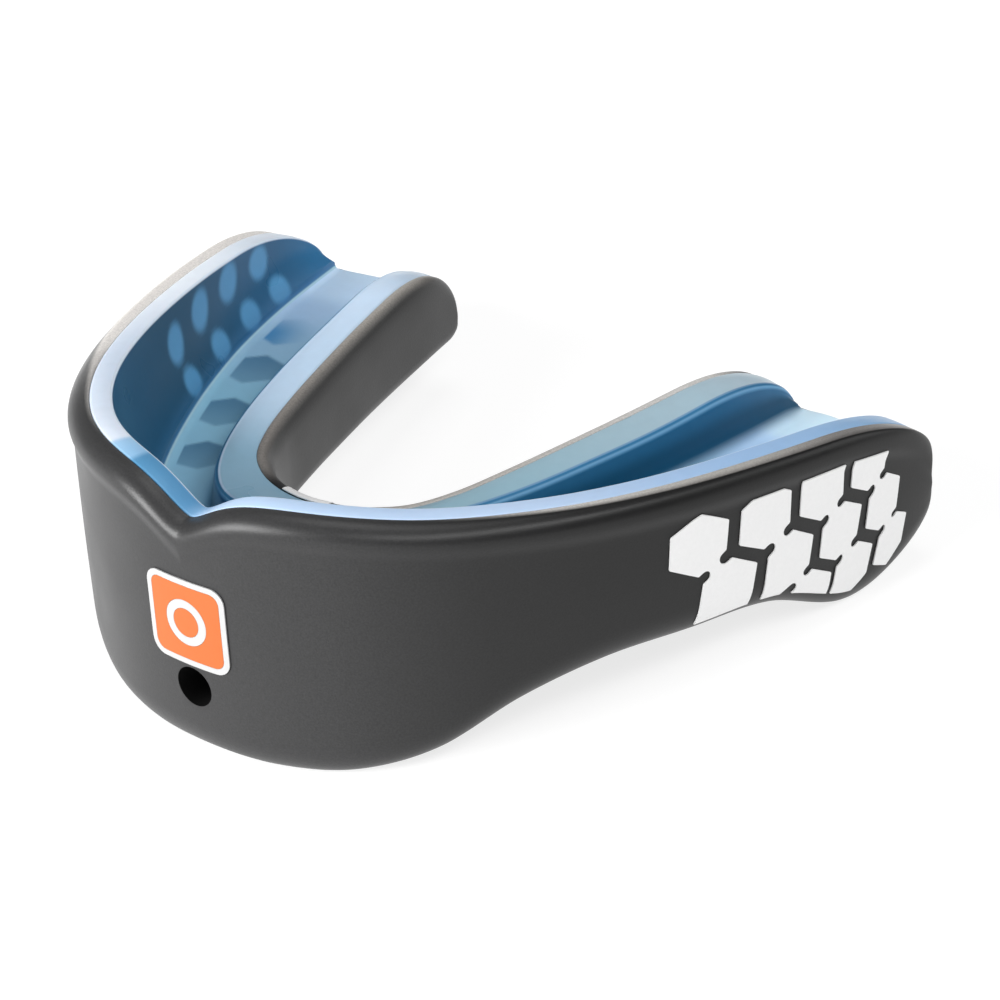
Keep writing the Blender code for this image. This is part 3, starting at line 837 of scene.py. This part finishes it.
# ---- materials ----
def new_material(name):
    """Material, its nodes and links, and its Principled shader."""
    mat = bpy.data.materials.new(name)
    mat.use_nodes = True
    return mat, mat.node_tree.nodes, mat.node_tree.links, mat.node_tree.nodes["Principled BSDF"]


def noise(nodes, links, coords, scale, detail, rough):
    node = nodes.new("ShaderNodeTexNoise")
    node.inputs["Scale"].default_value = scale
    node.inputs["Detail"].default_value = detail
    node.inputs["Roughness"].default_value = rough
    links.new(coords.outputs["Object"], node.inputs["Vector"])
    return node


def ramp(nodes, links, source, out_low, out_high):
    """Maps the middle of a noise's range to these two values."""
    node = nodes.new("ShaderNodeMapRange")
    node.inputs["From Min"].default_value = 0.3
    node.inputs["From Max"].default_value = 0.7
    node.inputs["To Min"].default_value = out_low
    node.inputs["To Max"].default_value = out_high
    links.new(source, node.inputs["Value"])
    return node


def scaled_colour(nodes, links, colour, factor):
    """The colour socket times a value socket."""
    node = nodes.new("ShaderNodeVectorMath")
    node.operation = "SCALE"
    links.new(colour, node.inputs[0])
    links.new(factor, node.inputs["Scale"])
    return node.outputs["Vector"]


def add_finish(nodes, links, shader, fine, broad, rough, spread, bump, bump_depth):
    """Roughness that drifts with the broad noise, and relief from the fine one."""
    change = ramp(nodes, links, broad.outputs["Fac"], rough - spread, rough + spread)
    links.new(change.outputs["Result"], shader.inputs["Roughness"])
    relief = nodes.new("ShaderNodeBump")
    relief.inputs["Strength"].default_value = bump
    relief.inputs["Distance"].default_value = bump_depth
    links.new(fine.outputs["Fac"], relief.inputs["Height"])
    links.new(relief.outputs["Normal"], shader.inputs["Normal"])


def painted(name, rough, spread, grain, grain_scale, bump, bump_depth):
    """Principled surface that reads the paint attribute, with grain, roughness change and bump."""
    mat, nodes, links, shader = new_material(name)
    coords = nodes.new("ShaderNodeTexCoord")
    tint = nodes.new("ShaderNodeAttribute")
    tint.attribute_name = "paint"
    fine = noise(nodes, links, coords, grain_scale, 3.0, 0.6)
    broad = noise(nodes, links, coords, 160.0, 2.0, 0.5)
    factor = ramp(nodes, links, fine.outputs["Fac"], 1 - grain, 1 + grain)
    grained = scaled_colour(nodes, links, tint.outputs["Color"], factor.outputs["Result"])
    links.new(grained, shader.inputs["Base Color"])
    add_finish(nodes, links, shader, fine, broad, rough, spread, bump, bump_depth)
    return mat, shader


def plain(name, colour, rough, grain=0.04):
    """As painted(), with one colour of its own in place of the attribute."""
    mat, nodes, links, shader = new_material(name)
    coords = nodes.new("ShaderNodeTexCoord")
    fine = noise(nodes, links, coords, 3500.0, 3.0, 0.6)
    broad = noise(nodes, links, coords, 220.0, 2.0, 0.5)
    blend = nodes.new("ShaderNodeMix")
    blend.data_type = "RGBA"
    blend.inputs["A"].default_value = (*[c * (1 - grain) for c in colour], 1.0)
    blend.inputs["B"].default_value = (*[min(1.0, c * (1 + grain)) for c in colour], 1.0)
    links.new(fine.outputs["Fac"], blend.inputs["Factor"])
    links.new(blend.outputs["Result"], shader.inputs["Base Color"])
    add_finish(nodes, links, shader, fine, broad, rough, 0.05, 0.12, 0.00004)
    return mat, shader


rubber_mat, rubber_shader = painted("satin_rubber", 0.37, 0.04, 0.2, 7000.0, 0.3, 0.00003)
rubber_shader.inputs["Specular IOR Level"].default_value = 0.35
gel_mat, gel_shader = painted("moulded_gel", 0.32, 0.05, 0.02, 900.0, 0.05, 0.00004)
gel_shader.inputs["Subsurface Weight"].default_value = 0.12
gel_shader.inputs["Subsurface Radius"].default_value = (0.4, 0.8, 1.0)
gel_shader.inputs["Subsurface Scale"].default_value = 0.0008
gel_shader.inputs["Specular IOR Level"].default_value = 0.22
tread_mat, _ = plain("tread_print_film", (0.84, 0.84, 0.84), 0.45)
# painted shade: the badge's white print is a darker copy of the treads' white, to offset the strong key light
# on the front
white_print_shaded_mat, _ = plain("white_print_shaded_film", (0.46, 0.46, 0.46), 0.45)
orange_mat, _ = plain("orange_print_film", (0.48, 0.108, 0.015), 0.45)
# painted shade: the tether hole's bore is near-black in place of the rubber
bore_shade_mat, bore_shade_shader = plain("bore_painted_shade", srgb(12, 12, 12), 0.8, grain=0.3)
core_mat, _ = plain("core_resin_film", srgb(128, 158, 165), 0.35)
pad_mat, _ = plain("pad_soft_rubber", srgb(66, 106, 134), 0.5)
oval_mat, _ = plain("oval_soft_gel", srgb(90, 142, 186), 0.3)
bore_shade_shader.inputs["Specular IOR Level"].default_value = 0.1

SHELL_SHARP = math.radians(50)
FILM_SHARP = math.radians(40)

# ---- outer guard ----
TETHER_HOLE_Z = -5.6
TETHER_HOLE_RADIUS = 1.5
HOLE_SIDES = 64
HOLE_REACH = 12

UNPAINTED = 0.95

OUTLINE_COUNT = len(guard_outline(0.0))
STATIONS = stations()
guard, rows = loft("outer_guard", guard_section, GUARD_END, STATIONS, True, OUTLINE_COUNT)
paint(guard, [guard_colour(u, i) for u, o, z, i in rows])
guard.data.materials.append(rubber_mat)
# second slot: the bore's painted-shade material
guard.data.materials.append(bore_shade_mat)


def bore_tool():
    """Cylinder across the front skirt, which cuts the tether hole."""
    bm = bmesh.new()
    bmesh.ops.create_cone(
        bm,
        cap_ends=True,
        segments=HOLE_SIDES,
        radius1=TETHER_HOLE_RADIUS * MM,
        radius2=TETHER_HOLE_RADIUS * MM,
        depth=HOLE_REACH * MM,
    )
    mesh = bpy.data.meshes.new("bore_tool")
    bm.to_mesh(mesh)
    bm.free()
    # the bore's faces carry the painted-shade material into the guard
    mesh.materials.append(bore_shade_mat)
    obj = add_object("bore_tool", mesh)
    tilt = STAND.to_3x3().to_4x4() @ Matrix.Rotation(math.pi / 2, 4, "X")
    obj.matrix_world = Matrix.Translation(place(0.0, 0.0, TETHER_HOLE_Z)) @ tilt
    return obj


def apply_cut(target, tool):
    """Cuts the tool out of the target. The new points come out white and get the rubber's colour."""
    mod = target.modifiers.new("cut", "BOOLEAN")
    mod.operation = "DIFFERENCE"
    mod.solver = "EXACT"
    mod.object = tool
    mod.material_mode = "TRANSFER"
    bpy.context.view_layer.update()
    graph = bpy.context.evaluated_depsgraph_get()
    done = target.evaluated_get(graph)
    mesh = bpy.data.meshes.new_from_object(done, preserve_all_data_layers=True, depsgraph=graph)
    target.modifiers.clear()
    target.data = mesh
    bpy.data.objects.remove(tool)
    for entry in mesh.attributes["paint"].data:
        if entry.color[0] > UNPAINTED:
            entry.color = (*RUBBER, 1.0)


apply_cut(guard, bore_tool())
guard.data.set_sharp_from_angle(angle=SHELL_SHARP)

# ---- gel liner ----
tags = {}


def liner_points(u):
    pts = liner_section(u)
    tags[u] = [(tag, t) for _, tag, t in pts]
    return [p for p, _, _ in pts]


LINER_OUTSIDE = sum(1 for _, tag, _ in liner_section(0.0) if tag != "under")
liner, rows = loft("gel_liner_surface", liner_points, LINER_END, STATIONS, outside=LINER_OUTSIDE)
liner.data.set_sharp_from_angle(angle=SHELL_SHARP)
paint(liner, [liner_colour(u, o, z, *tags[u][i]) for u, o, z, i in rows])
liner.data.materials.append(gel_mat)


# ---- hidden support core ----
CORE_END = 0.885
core_us = [CORE_END * (i / 60 - 1) for i in range(121)]
core, _ = loft("inner_support_core", core_section, 0.0, core_us)
core.data.set_sharp_from_angle(angle=FILM_SHARP)
core.data.materials.append(core_mat)


# ---- films printed on the outer wall, in (arc, height) on its face ----
FILM_GAP = 0.03
FILM_THICK = 0.1
FILM_CELL = 0.35
FILM_WELD = 0.004
# each column's hexagons from the top down, as (arc, height) corners from the top one, clockwise
TREAD_CELLS = (
    (
        ((36.8, 4.6), (39.0, 3.4), (38.7, 1.2), (36.4, -0.1), (34.1, 1.2), (34.3, 3.6)),
        ((39.2, 0.4), (41.3, -0.8), (40.6, -4.4), (38.3, -5.6), (36.1, -4.6), (36.8, -0.8)),
    ),
    (
        ((42.4, 4.8), (44.4, 3.6), (44.2, 1.2), (41.9, 0.0), (39.8, 1.1), (40.1, 3.6)),
        ((44.5, 0.5), (46.3, -0.6), (45.9, -2.8), (43.9, -4.0), (41.6, -5.6), (42.3, -0.8)),
        ((46.2, -3.3), (48.0, -4.3), (47.6, -6.4), (45.7, -7.6), (43.9, -6.9), (44.3, -4.8)),
    ),
    (
        ((47.4, 5.0), (49.3, 3.9), (49.1, 1.4), (47.0, 0.2), (45.1, 1.3), (45.4, 4.0)),
        ((49.3, 0.8), (50.9, -0.1), (50.4, -2.3), (48.4, -3.5), (46.9, -2.7), (47.2, -0.5)),
        ((50.6, -2.9), (52.0, -3.7), (51.4, -5.8), (49.7, -6.9), (48.0, -6.4), (48.5, -4.1)),
    ),
    (
        ((51.9, 4.5), (53.5, 3.5), (53.2, 1.8), (51.5, 0.7), (49.9, 1.6), (50.2, 3.8)),
        ((53.5, 1.3), (54.8, 0.5), (54.4, -1.8), (52.6, -2.9), (51.3, -2.2), (51.7, 0.0)),
        ((54.5, -2.2), (55.5, -2.7), (55.0, -4.8), (53.5, -6.1), (52.1, -5.5), (52.7, -3.5)),
    ),
)
TREAD_SLOT = 0.42
TREAD_TOP_LINE = ((36.0, 5.2), (38.5, 4.5), (41.2, 4.1), (45.4, 3.9), (49.3, 3.7), (53.5, 3.1))
TREAD_LOW_LINE = ((36.0, 0.95), (41.0, 1.05), (46.0, 1.3), (54.0, 1.6))
TREAD_CORNER = 0.1


def skin(u, z):
    """Offset of the guard's outer face at height z."""
    wall = OuterWall(u)
    depth = wall.top - z
    if depth <= wall.bead_round:
        rise = math.sqrt(max(0.0, 1 - (1 - depth / wall.bead_round) ** 2))
        return wall.land + (wall.bead - wall.land) * rise
    if depth <= wall.bead_depth:
        t = (depth - wall.bead_round) / (wall.bead_depth - wall.bead_round)
        return lerp(wall.bead, wall.out, 0.5 - 0.5 * math.cos(math.pi * t))
    centre = wall.foot + wall.foot_round
    if z >= centre:
        t = (depth - wall.bead_depth) / (wall.tall - wall.foot_round - wall.bead_depth)
        return wall.out + WALL_SWELL * math.sin(math.pi * t)
    rise = math.sqrt(max(0.0, 1 - ((centre - z) / wall.foot_round) ** 2))
    return SKIRT_ROUND_CENTRE + (wall.out - SKIRT_ROUND_CENTRE) * rise


def skin_point(s, z, lift):
    """Row-frame point over the outer wall at arc s and height z, lifted along the wall's normal."""
    u = u_at(s, WALL_ARC)
    slope = (skin(u, z + 0.02) - skin(u, z - 0.02)) / 0.04
    size = math.hypot(1.0, slope)
    return place(u, skin(u, z) + lift / size, z - lift * slope / size)


def soften(points, radius):
    """Closed outline with each corner turned into a short curve."""
    out = []
    n = len(points)
    for i in range(n):
        a = points[i - 1]
        c = points[i]
        b = points[(i + 1) % n]
        la = math.dist(a, c)
        lb = math.dist(b, c)
        ra = min(radius, 0.4 * la) / la
        rb = min(radius, 0.4 * lb) / lb
        start = (lerp(c[0], a[0], ra), lerp(c[1], a[1], ra))
        end = (lerp(c[0], b[0], rb), lerp(c[1], b[1], rb))
        out.append(start)
        out += curve_corner(start, c, end, 3)
    return out


def slot_end(p, q, bulge, steps=6):
    """Half circle from p to q that swells along the unit vector bulge, without p and q."""
    r = math.dist(p, q) / 2
    middle = [(p[j] + q[j]) / 2 for j in (0, 1)]
    side = [(p[j] - middle[j]) / r for j in (0, 1)]
    pts = []
    for i in range(1, steps):
        a = math.pi * i / steps
        across = r * math.cos(a)
        out = r * math.sin(a)
        pts.append(tuple(middle[j] + side[j] * across + bulge[j] * out for j in (0, 1)))
    return pts


def toward(p, q, reach):
    """Point reach mm from p on the way to q."""
    t = reach / math.dist(p, q)
    return (lerp(p[0], q[0], t), lerp(p[1], q[1], t))


def column_outline(cells):
    """One slanting column of linked hexagons, with a round-ended slot at both ends of each shared edge.

    A cell lists its corners from the top, clockwise.
    """
    right = []
    left = []
    for k, (top, rt, rb, bottom, lb, lt) in enumerate(cells):
        if k > 0:
            above = cells[k - 1]
            run = math.dist(above[2], above[3])
            edge = ((above[3][0] - above[2][0]) / run, (above[3][1] - above[2][1]) / run)
            near = toward(top, lt, TREAD_SLOT)
            right += [*slot_end(right[-1], near, edge), near]
            far = toward(lt, top, TREAD_SLOT)
            left += [*slot_end(left[-1], far, (-edge[0], -edge[1])), far]
        right += [top, rt, rb]
        left += [lt, lb, bottom]
        if k < len(cells) - 1:
            right.append(toward(rb, bottom, TREAD_SLOT))
            left.append(toward(bottom, rb, TREAD_SLOT))
    return soften(right + left[::-1], TREAD_CORNER)


def tread_top(s):
    """Height where the bead's lower edge cuts the treads off."""
    return broken_line(TREAD_TOP_LINE, s)


def tread_low(s):
    """Height where the foot's rounding cuts the treads off."""
    return skirt(u_at(s, WALL_ARC)) + broken_line(TREAD_LOW_LINE, s)


def keep_largest(bm):
    """Deletes every island of faces but the largest."""
    left = set(bm.faces)
    islands = []
    while left:
        stack = [left.pop()]
        group = []
        while stack:
            face = stack.pop()
            group.append(face)
            for edge in face.edges:
                for other in edge.link_faces:
                    if other in left:
                        left.remove(other)
                        stack.append(other)
        islands.append(group)
    islands.sort(key=lambda g: sum(f.calc_area() for f in g))
    for group in islands[:-1]:
        bmesh.ops.delete(bm, geom=group, context="FACES")


def slice_at(bm, co, no, clear=False):
    """Cuts edges into the mesh along a plane, and clears what lies beyond it if asked."""
    geom = [*bm.verts, *bm.edges, *bm.faces]
    bmesh.ops.bisect_plane(bm, geom=geom, dist=1e-5, plane_co=co, plane_no=no, clear_outer=clear)


def slice_evenly(bm, axis):
    """Cuts a flat mesh into strips of about FILM_CELL along axis 0 or 1."""
    at = [v.co[axis] for v in bm.verts]
    count = max(1, math.ceil((max(at) - min(at)) / FILM_CELL))
    normal = (1 - axis, axis, 0)
    for i in range(1, count):
        level = lerp(min(at), max(at), i / count)
        slice_at(bm, [level * n for n in normal], normal)


def clip(bm, line, way):
    """Clears what lies above (way 1) or below (way -1) the line of heights."""
    for v in bm.verts:
        v.co.y -= line(v.co.x)
    slice_at(bm, (0, 0, 0), (0, way, 0), clear=True)
    for v in bm.verts:
        v.co.y += line(v.co.x)


def flat_sheet(loops, top, low):
    """Points and triangles of a flat (arc, height) sheet: the first loop's inside, less the others'."""
    bm = bmesh.new()
    edges = []
    for pts in loops:
        ring = [bm.verts.new((s, z, 0)) for s, z in pts]
        edges += [bm.edges.new((ring[i], ring[(i + 1) % len(ring)])) for i in range(len(ring))]
    bmesh.ops.triangle_fill(bm, edges=edges, use_beauty=True, use_dissolve=False)
    slice_evenly(bm, 0)
    if top:
        clip(bm, top, 1)
    if low:
        clip(bm, low, -1)
    slice_evenly(bm, 1)
    bmesh.ops.remove_doubles(bm, verts=bm.verts, dist=FILM_WELD)
    bmesh.ops.triangulate(bm, faces=bm.faces)
    keep_largest(bm)
    bmesh.ops.delete(bm, geom=[v for v in bm.verts if not v.link_faces], context="VERTS")
    bm.verts.index_update()
    flat = [(v.co.x, v.co.y) for v in bm.verts]
    tris = [[v.index for v in f.verts] for f in bm.faces]
    bm.faces.ensure_lookup_table()
    if bm.faces[0].normal.z < 0:
        tris = [t[::-1] for t in tris]
    bm.free()
    return flat, tris


def film(name, outline, mat, side=1, holes=(), top=None, low=None):
    """Thin printed sheet that follows the outer wall; top and low give the heights that clip it."""
    flat, tris = flat_sheet((outline, *holes), top, low)
    seen = {(a, b) for t in tris for a, b in zip(t, t[1:] + t[:1])}
    border = [(a, b) for a, b in seen if (b, a) not in seen]
    n = len(flat)
    co = [skin_point(s * side, z, FILM_GAP + FILM_THICK) for s, z in flat]
    co += [skin_point(s * side, z, FILM_GAP) for s, z in flat]
    faces = tris + [[i + n for i in t[::-1]] for t in tris]
    faces += [[b, a, a + n, b + n] for a, b in border]
    if side < 0:
        faces = [f[::-1] for f in faces]
    mesh = bpy.data.meshes.new(name)
    mesh.from_pydata(co, [], faces)
    mesh.shade_smooth()
    mesh.set_sharp_from_angle(angle=FILM_SHARP)
    mesh.materials.append(mat)
    return add_object(name, mesh)


# each film with its material slot and the CAD node that it replaces
films = []
for side, tag in ((1, "right"), (-1, "left")):
    for index, cells in enumerate(TREAD_CELLS, 1):
        outline = column_outline(cells)
        name = f"tread_film_{tag}_{index}"
        piece = film(name, outline, tread_mat, side, top=tread_top, low=tread_low)
        films.append((piece, "white_print", f"tread_{tag}_{index}"))

# ---- badge ----
BADGE_WIDTH = 6.8
BADGE_HEIGHT = 6.6
BADGE_Z = -0.5
BADGE_CORNER = 1.1
BADGE_BORDER = 0.42
BADGE_SEAM = 0.02
RING_RADIUS = (1.1, 1.75)


def badge_square(inset):
    """Rounded square drawn in by inset."""
    w = BADGE_WIDTH / 2 - inset
    h = BADGE_HEIGHT / 2 - inset
    r = BADGE_CORNER - inset * 0.8
    pts = []
    for cx, cy, start in ((1, 1, 0), (-1, 1, 90), (-1, -1, 180), (1, -1, 270)):
        for i in range(9):
            a = math.radians(start + 90 * i / 8)
            pts.append((cx * (w - r) + r * math.cos(a), cy * (h - r) + r * math.sin(a) + BADGE_Z))
    return pts


def badge_circle(radius, count=56):
    step = 2 * math.pi / count
    return [(radius * math.cos(step * i), radius * math.sin(step * i) + BADGE_Z) for i in range(count)]


# the badge's white parts use the darker painted-shade copy of the white print
border = film("badge_border_film", badge_square(0), white_print_shaded_mat, holes=(badge_square(BADGE_BORDER),))
face_hole = badge_circle(RING_RADIUS[1])
face = film("badge_face_film", badge_square(BADGE_BORDER + BADGE_SEAM), orange_mat, holes=(face_hole,))
ring_outline = badge_circle(RING_RADIUS[1] - BADGE_SEAM)
ring = film("badge_ring_film", ring_outline, white_print_shaded_mat, holes=(badge_circle(RING_RADIUS[0]),))
centre = film("badge_centre_film", badge_circle(RING_RADIUS[0] - BADGE_SEAM), orange_mat)
films.append((border, "white_print", "badge_border"))
films.append((face, "badge_orange", "badge_face"))
films.append((ring, "white_print", "badge_ring"))
films.append((centre, "badge_orange", "badge_centre"))

# ---- white strip on the inner lip, a painted highlight ----
HIGHLIGHT_STRIP_ARC = 4.0
HIGHLIGHT_STRIP_THICK = 0.1


def highlight_strip_section(u):
    """Thin strip over the inner lip's land and the start of its rounding, a white sheet standing for a
    painted highlight.
    """
    lip_out = table(LIP_OUTER, u)
    land_z = lip_low(u)
    base_in = lip_out - LIP_WALL
    edge = lip_out - LIP_LAND
    over = [(lip_out - 0.05, land_z)]
    for degrees in (0, 15, 30, 45, 60, 75):
        a = math.radians(degrees)
        over.append((edge + (base_in - edge) * math.sin(a), land_z - LIP_ROUND * (1 - math.cos(a))))
    top = []
    for i, (o, z) in enumerate(over):
        top.append((o - HIGHLIGHT_STRIP_THICK * i / 6, z + HIGHLIGHT_STRIP_THICK * (1 - i / 8)))
    low = [(o, z + 0.02) for o, z in over]
    return top + low[::-1]


highlight_strip_end = u_at(HIGHLIGHT_STRIP_ARC, RIM_ARC)
highlight_strip_us = [highlight_strip_end * (i / 16 - 1) for i in range(33)]
# painted highlight: this white strip lays a reflection on the inner lip's edge as a sheet
insert, _ = loft("lip_highlight_film", highlight_strip_section, 0.0, highlight_strip_us)
insert.data.set_sharp_from_angle(angle=FILM_SHARP)
insert.data.materials.append(tread_mat)
films.append((insert, "white_print", "lip_insert"))

# ---- everything rides on the frame's one body ----
for piece, slot, node in films:
    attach(piece, "root")
    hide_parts(node)
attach(guard, "root")
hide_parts("shock_guard")
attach(liner, "root")
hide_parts("gel_liner")
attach(core, "root")
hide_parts("support_core")
for name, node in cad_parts.items():
    for start, mat in (("bite_pad", pad_mat), ("wall_pad", oval_mat)):
        if name.startswith(start):
            node.data.materials.clear()
            node.data.materials.append(mat)

# ---- floor, lights and camera ----
box_low, box_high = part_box("shock_guard")
CENTRE = (box_low + box_high) / 2


def floor_material():
    mat, _, _, shader = new_material("pale_floor")
    shader.inputs["Base Color"].default_value = (0.3, 0.3, 0.3, 1.0)
    shader.inputs["Roughness"].default_value = 0.9
    shader.inputs["Specular IOR Level"].default_value = 0.0
    shader.inputs["Emission Color"].default_value = (1.0, 1.0, 1.0, 1.0)
    shader.inputs["Emission Strength"].default_value = 0.78
    return mat


FLOOR_RADIUS = 1.6
FLOOR_DROP = 0.0002

bm = bmesh.new()
bmesh.ops.create_circle(bm, cap_ends=True, segments=96, radius=FLOOR_RADIUS)
floor_mesh = bpy.data.meshes.new("floor")
bm.to_mesh(floor_mesh)
bm.free()
floor_mesh.materials.append(floor_material())
floor = add_object("floor", floor_mesh)
floor.location = (0, 0, -FLOOR_DROP)


def towards(azimuth, elevation):
    """Unit vector out of the object at these angles in degrees: azimuth 0 is in front (-Y), 90 at +X."""
    a = math.radians(azimuth)
    e = math.radians(elevation)
    return Vector((math.sin(a) * math.cos(e), -math.cos(a) * math.cos(e), math.sin(e)))


def softbox(name, azimuth, elevation, width, height, power):
    """Area light of this size in metres on a sphere round the object, aimed at its centre."""
    lamp = bpy.data.lights.new(name, "AREA")
    lamp.shape = "RECTANGLE"
    lamp.size = width
    lamp.size_y = height
    lamp.energy = power
    obj = add_object(name, lamp)
    out = towards(azimuth, elevation)
    obj.location = CENTRE + out * LIGHT_DISTANCE
    obj.rotation_mode = "QUATERNION"
    obj.rotation_quaternion = out.to_track_quat("Z", "Y")


LIGHT_DISTANCE = 0.6
softbox("overhead", 200, 75, 0.3, 0.3, 0.7)
softbox("right", 80, 50, 0.6, 0.12, 1.8)
softbox("rear_right", 140, 25, 0.4, 0.3, 0.6)
softbox("front_left", 335, 22, 0.4, 0.3, 6.3)

world = bpy.data.worlds.new("studio")
world.use_nodes = True
background = world.node_tree.nodes["Background"]
background.inputs["Color"].default_value = (1.0, 1.0, 1.0, 1.0)
background.inputs["Strength"].default_value = 0.12
bpy.context.scene.world = world
bpy.context.scene.view_settings.view_transform = "Standard"

CAMERA_AZIMUTH = 41.42
CAMERA_ELEVATION = 33.38
CAMERA_ROLL = math.radians(-6.78)
CAMERA_DISTANCE = 0.24361
CAMERA_LENS = 124.63
CAMERA_SENSOR = 36.0
CAMERA_AIM = Vector((0.0059, 0.0026, -0.0030))

back = towards(CAMERA_AZIMUTH, CAMERA_ELEVATION)
level = Vector((math.cos(math.radians(CAMERA_AZIMUTH)), math.sin(math.radians(CAMERA_AZIMUTH)), 0.0))
right = level * math.cos(CAMERA_ROLL) + back.cross(level) * math.sin(CAMERA_ROLL)
up = back.cross(right)
lens = bpy.data.cameras.new("camera")
lens.lens = CAMERA_LENS
lens.sensor_width = CAMERA_SENSOR
lens.clip_start = 0.01
lens.clip_end = 10.0
camera = add_object("camera", lens)
turn = Matrix((right, up, back)).transposed().to_4x4()
camera.matrix_world = Matrix.Translation(CENTRE + CAMERA_AIM + back * CAMERA_DISTANCE) @ turn
bpy.context.scene.camera = camera
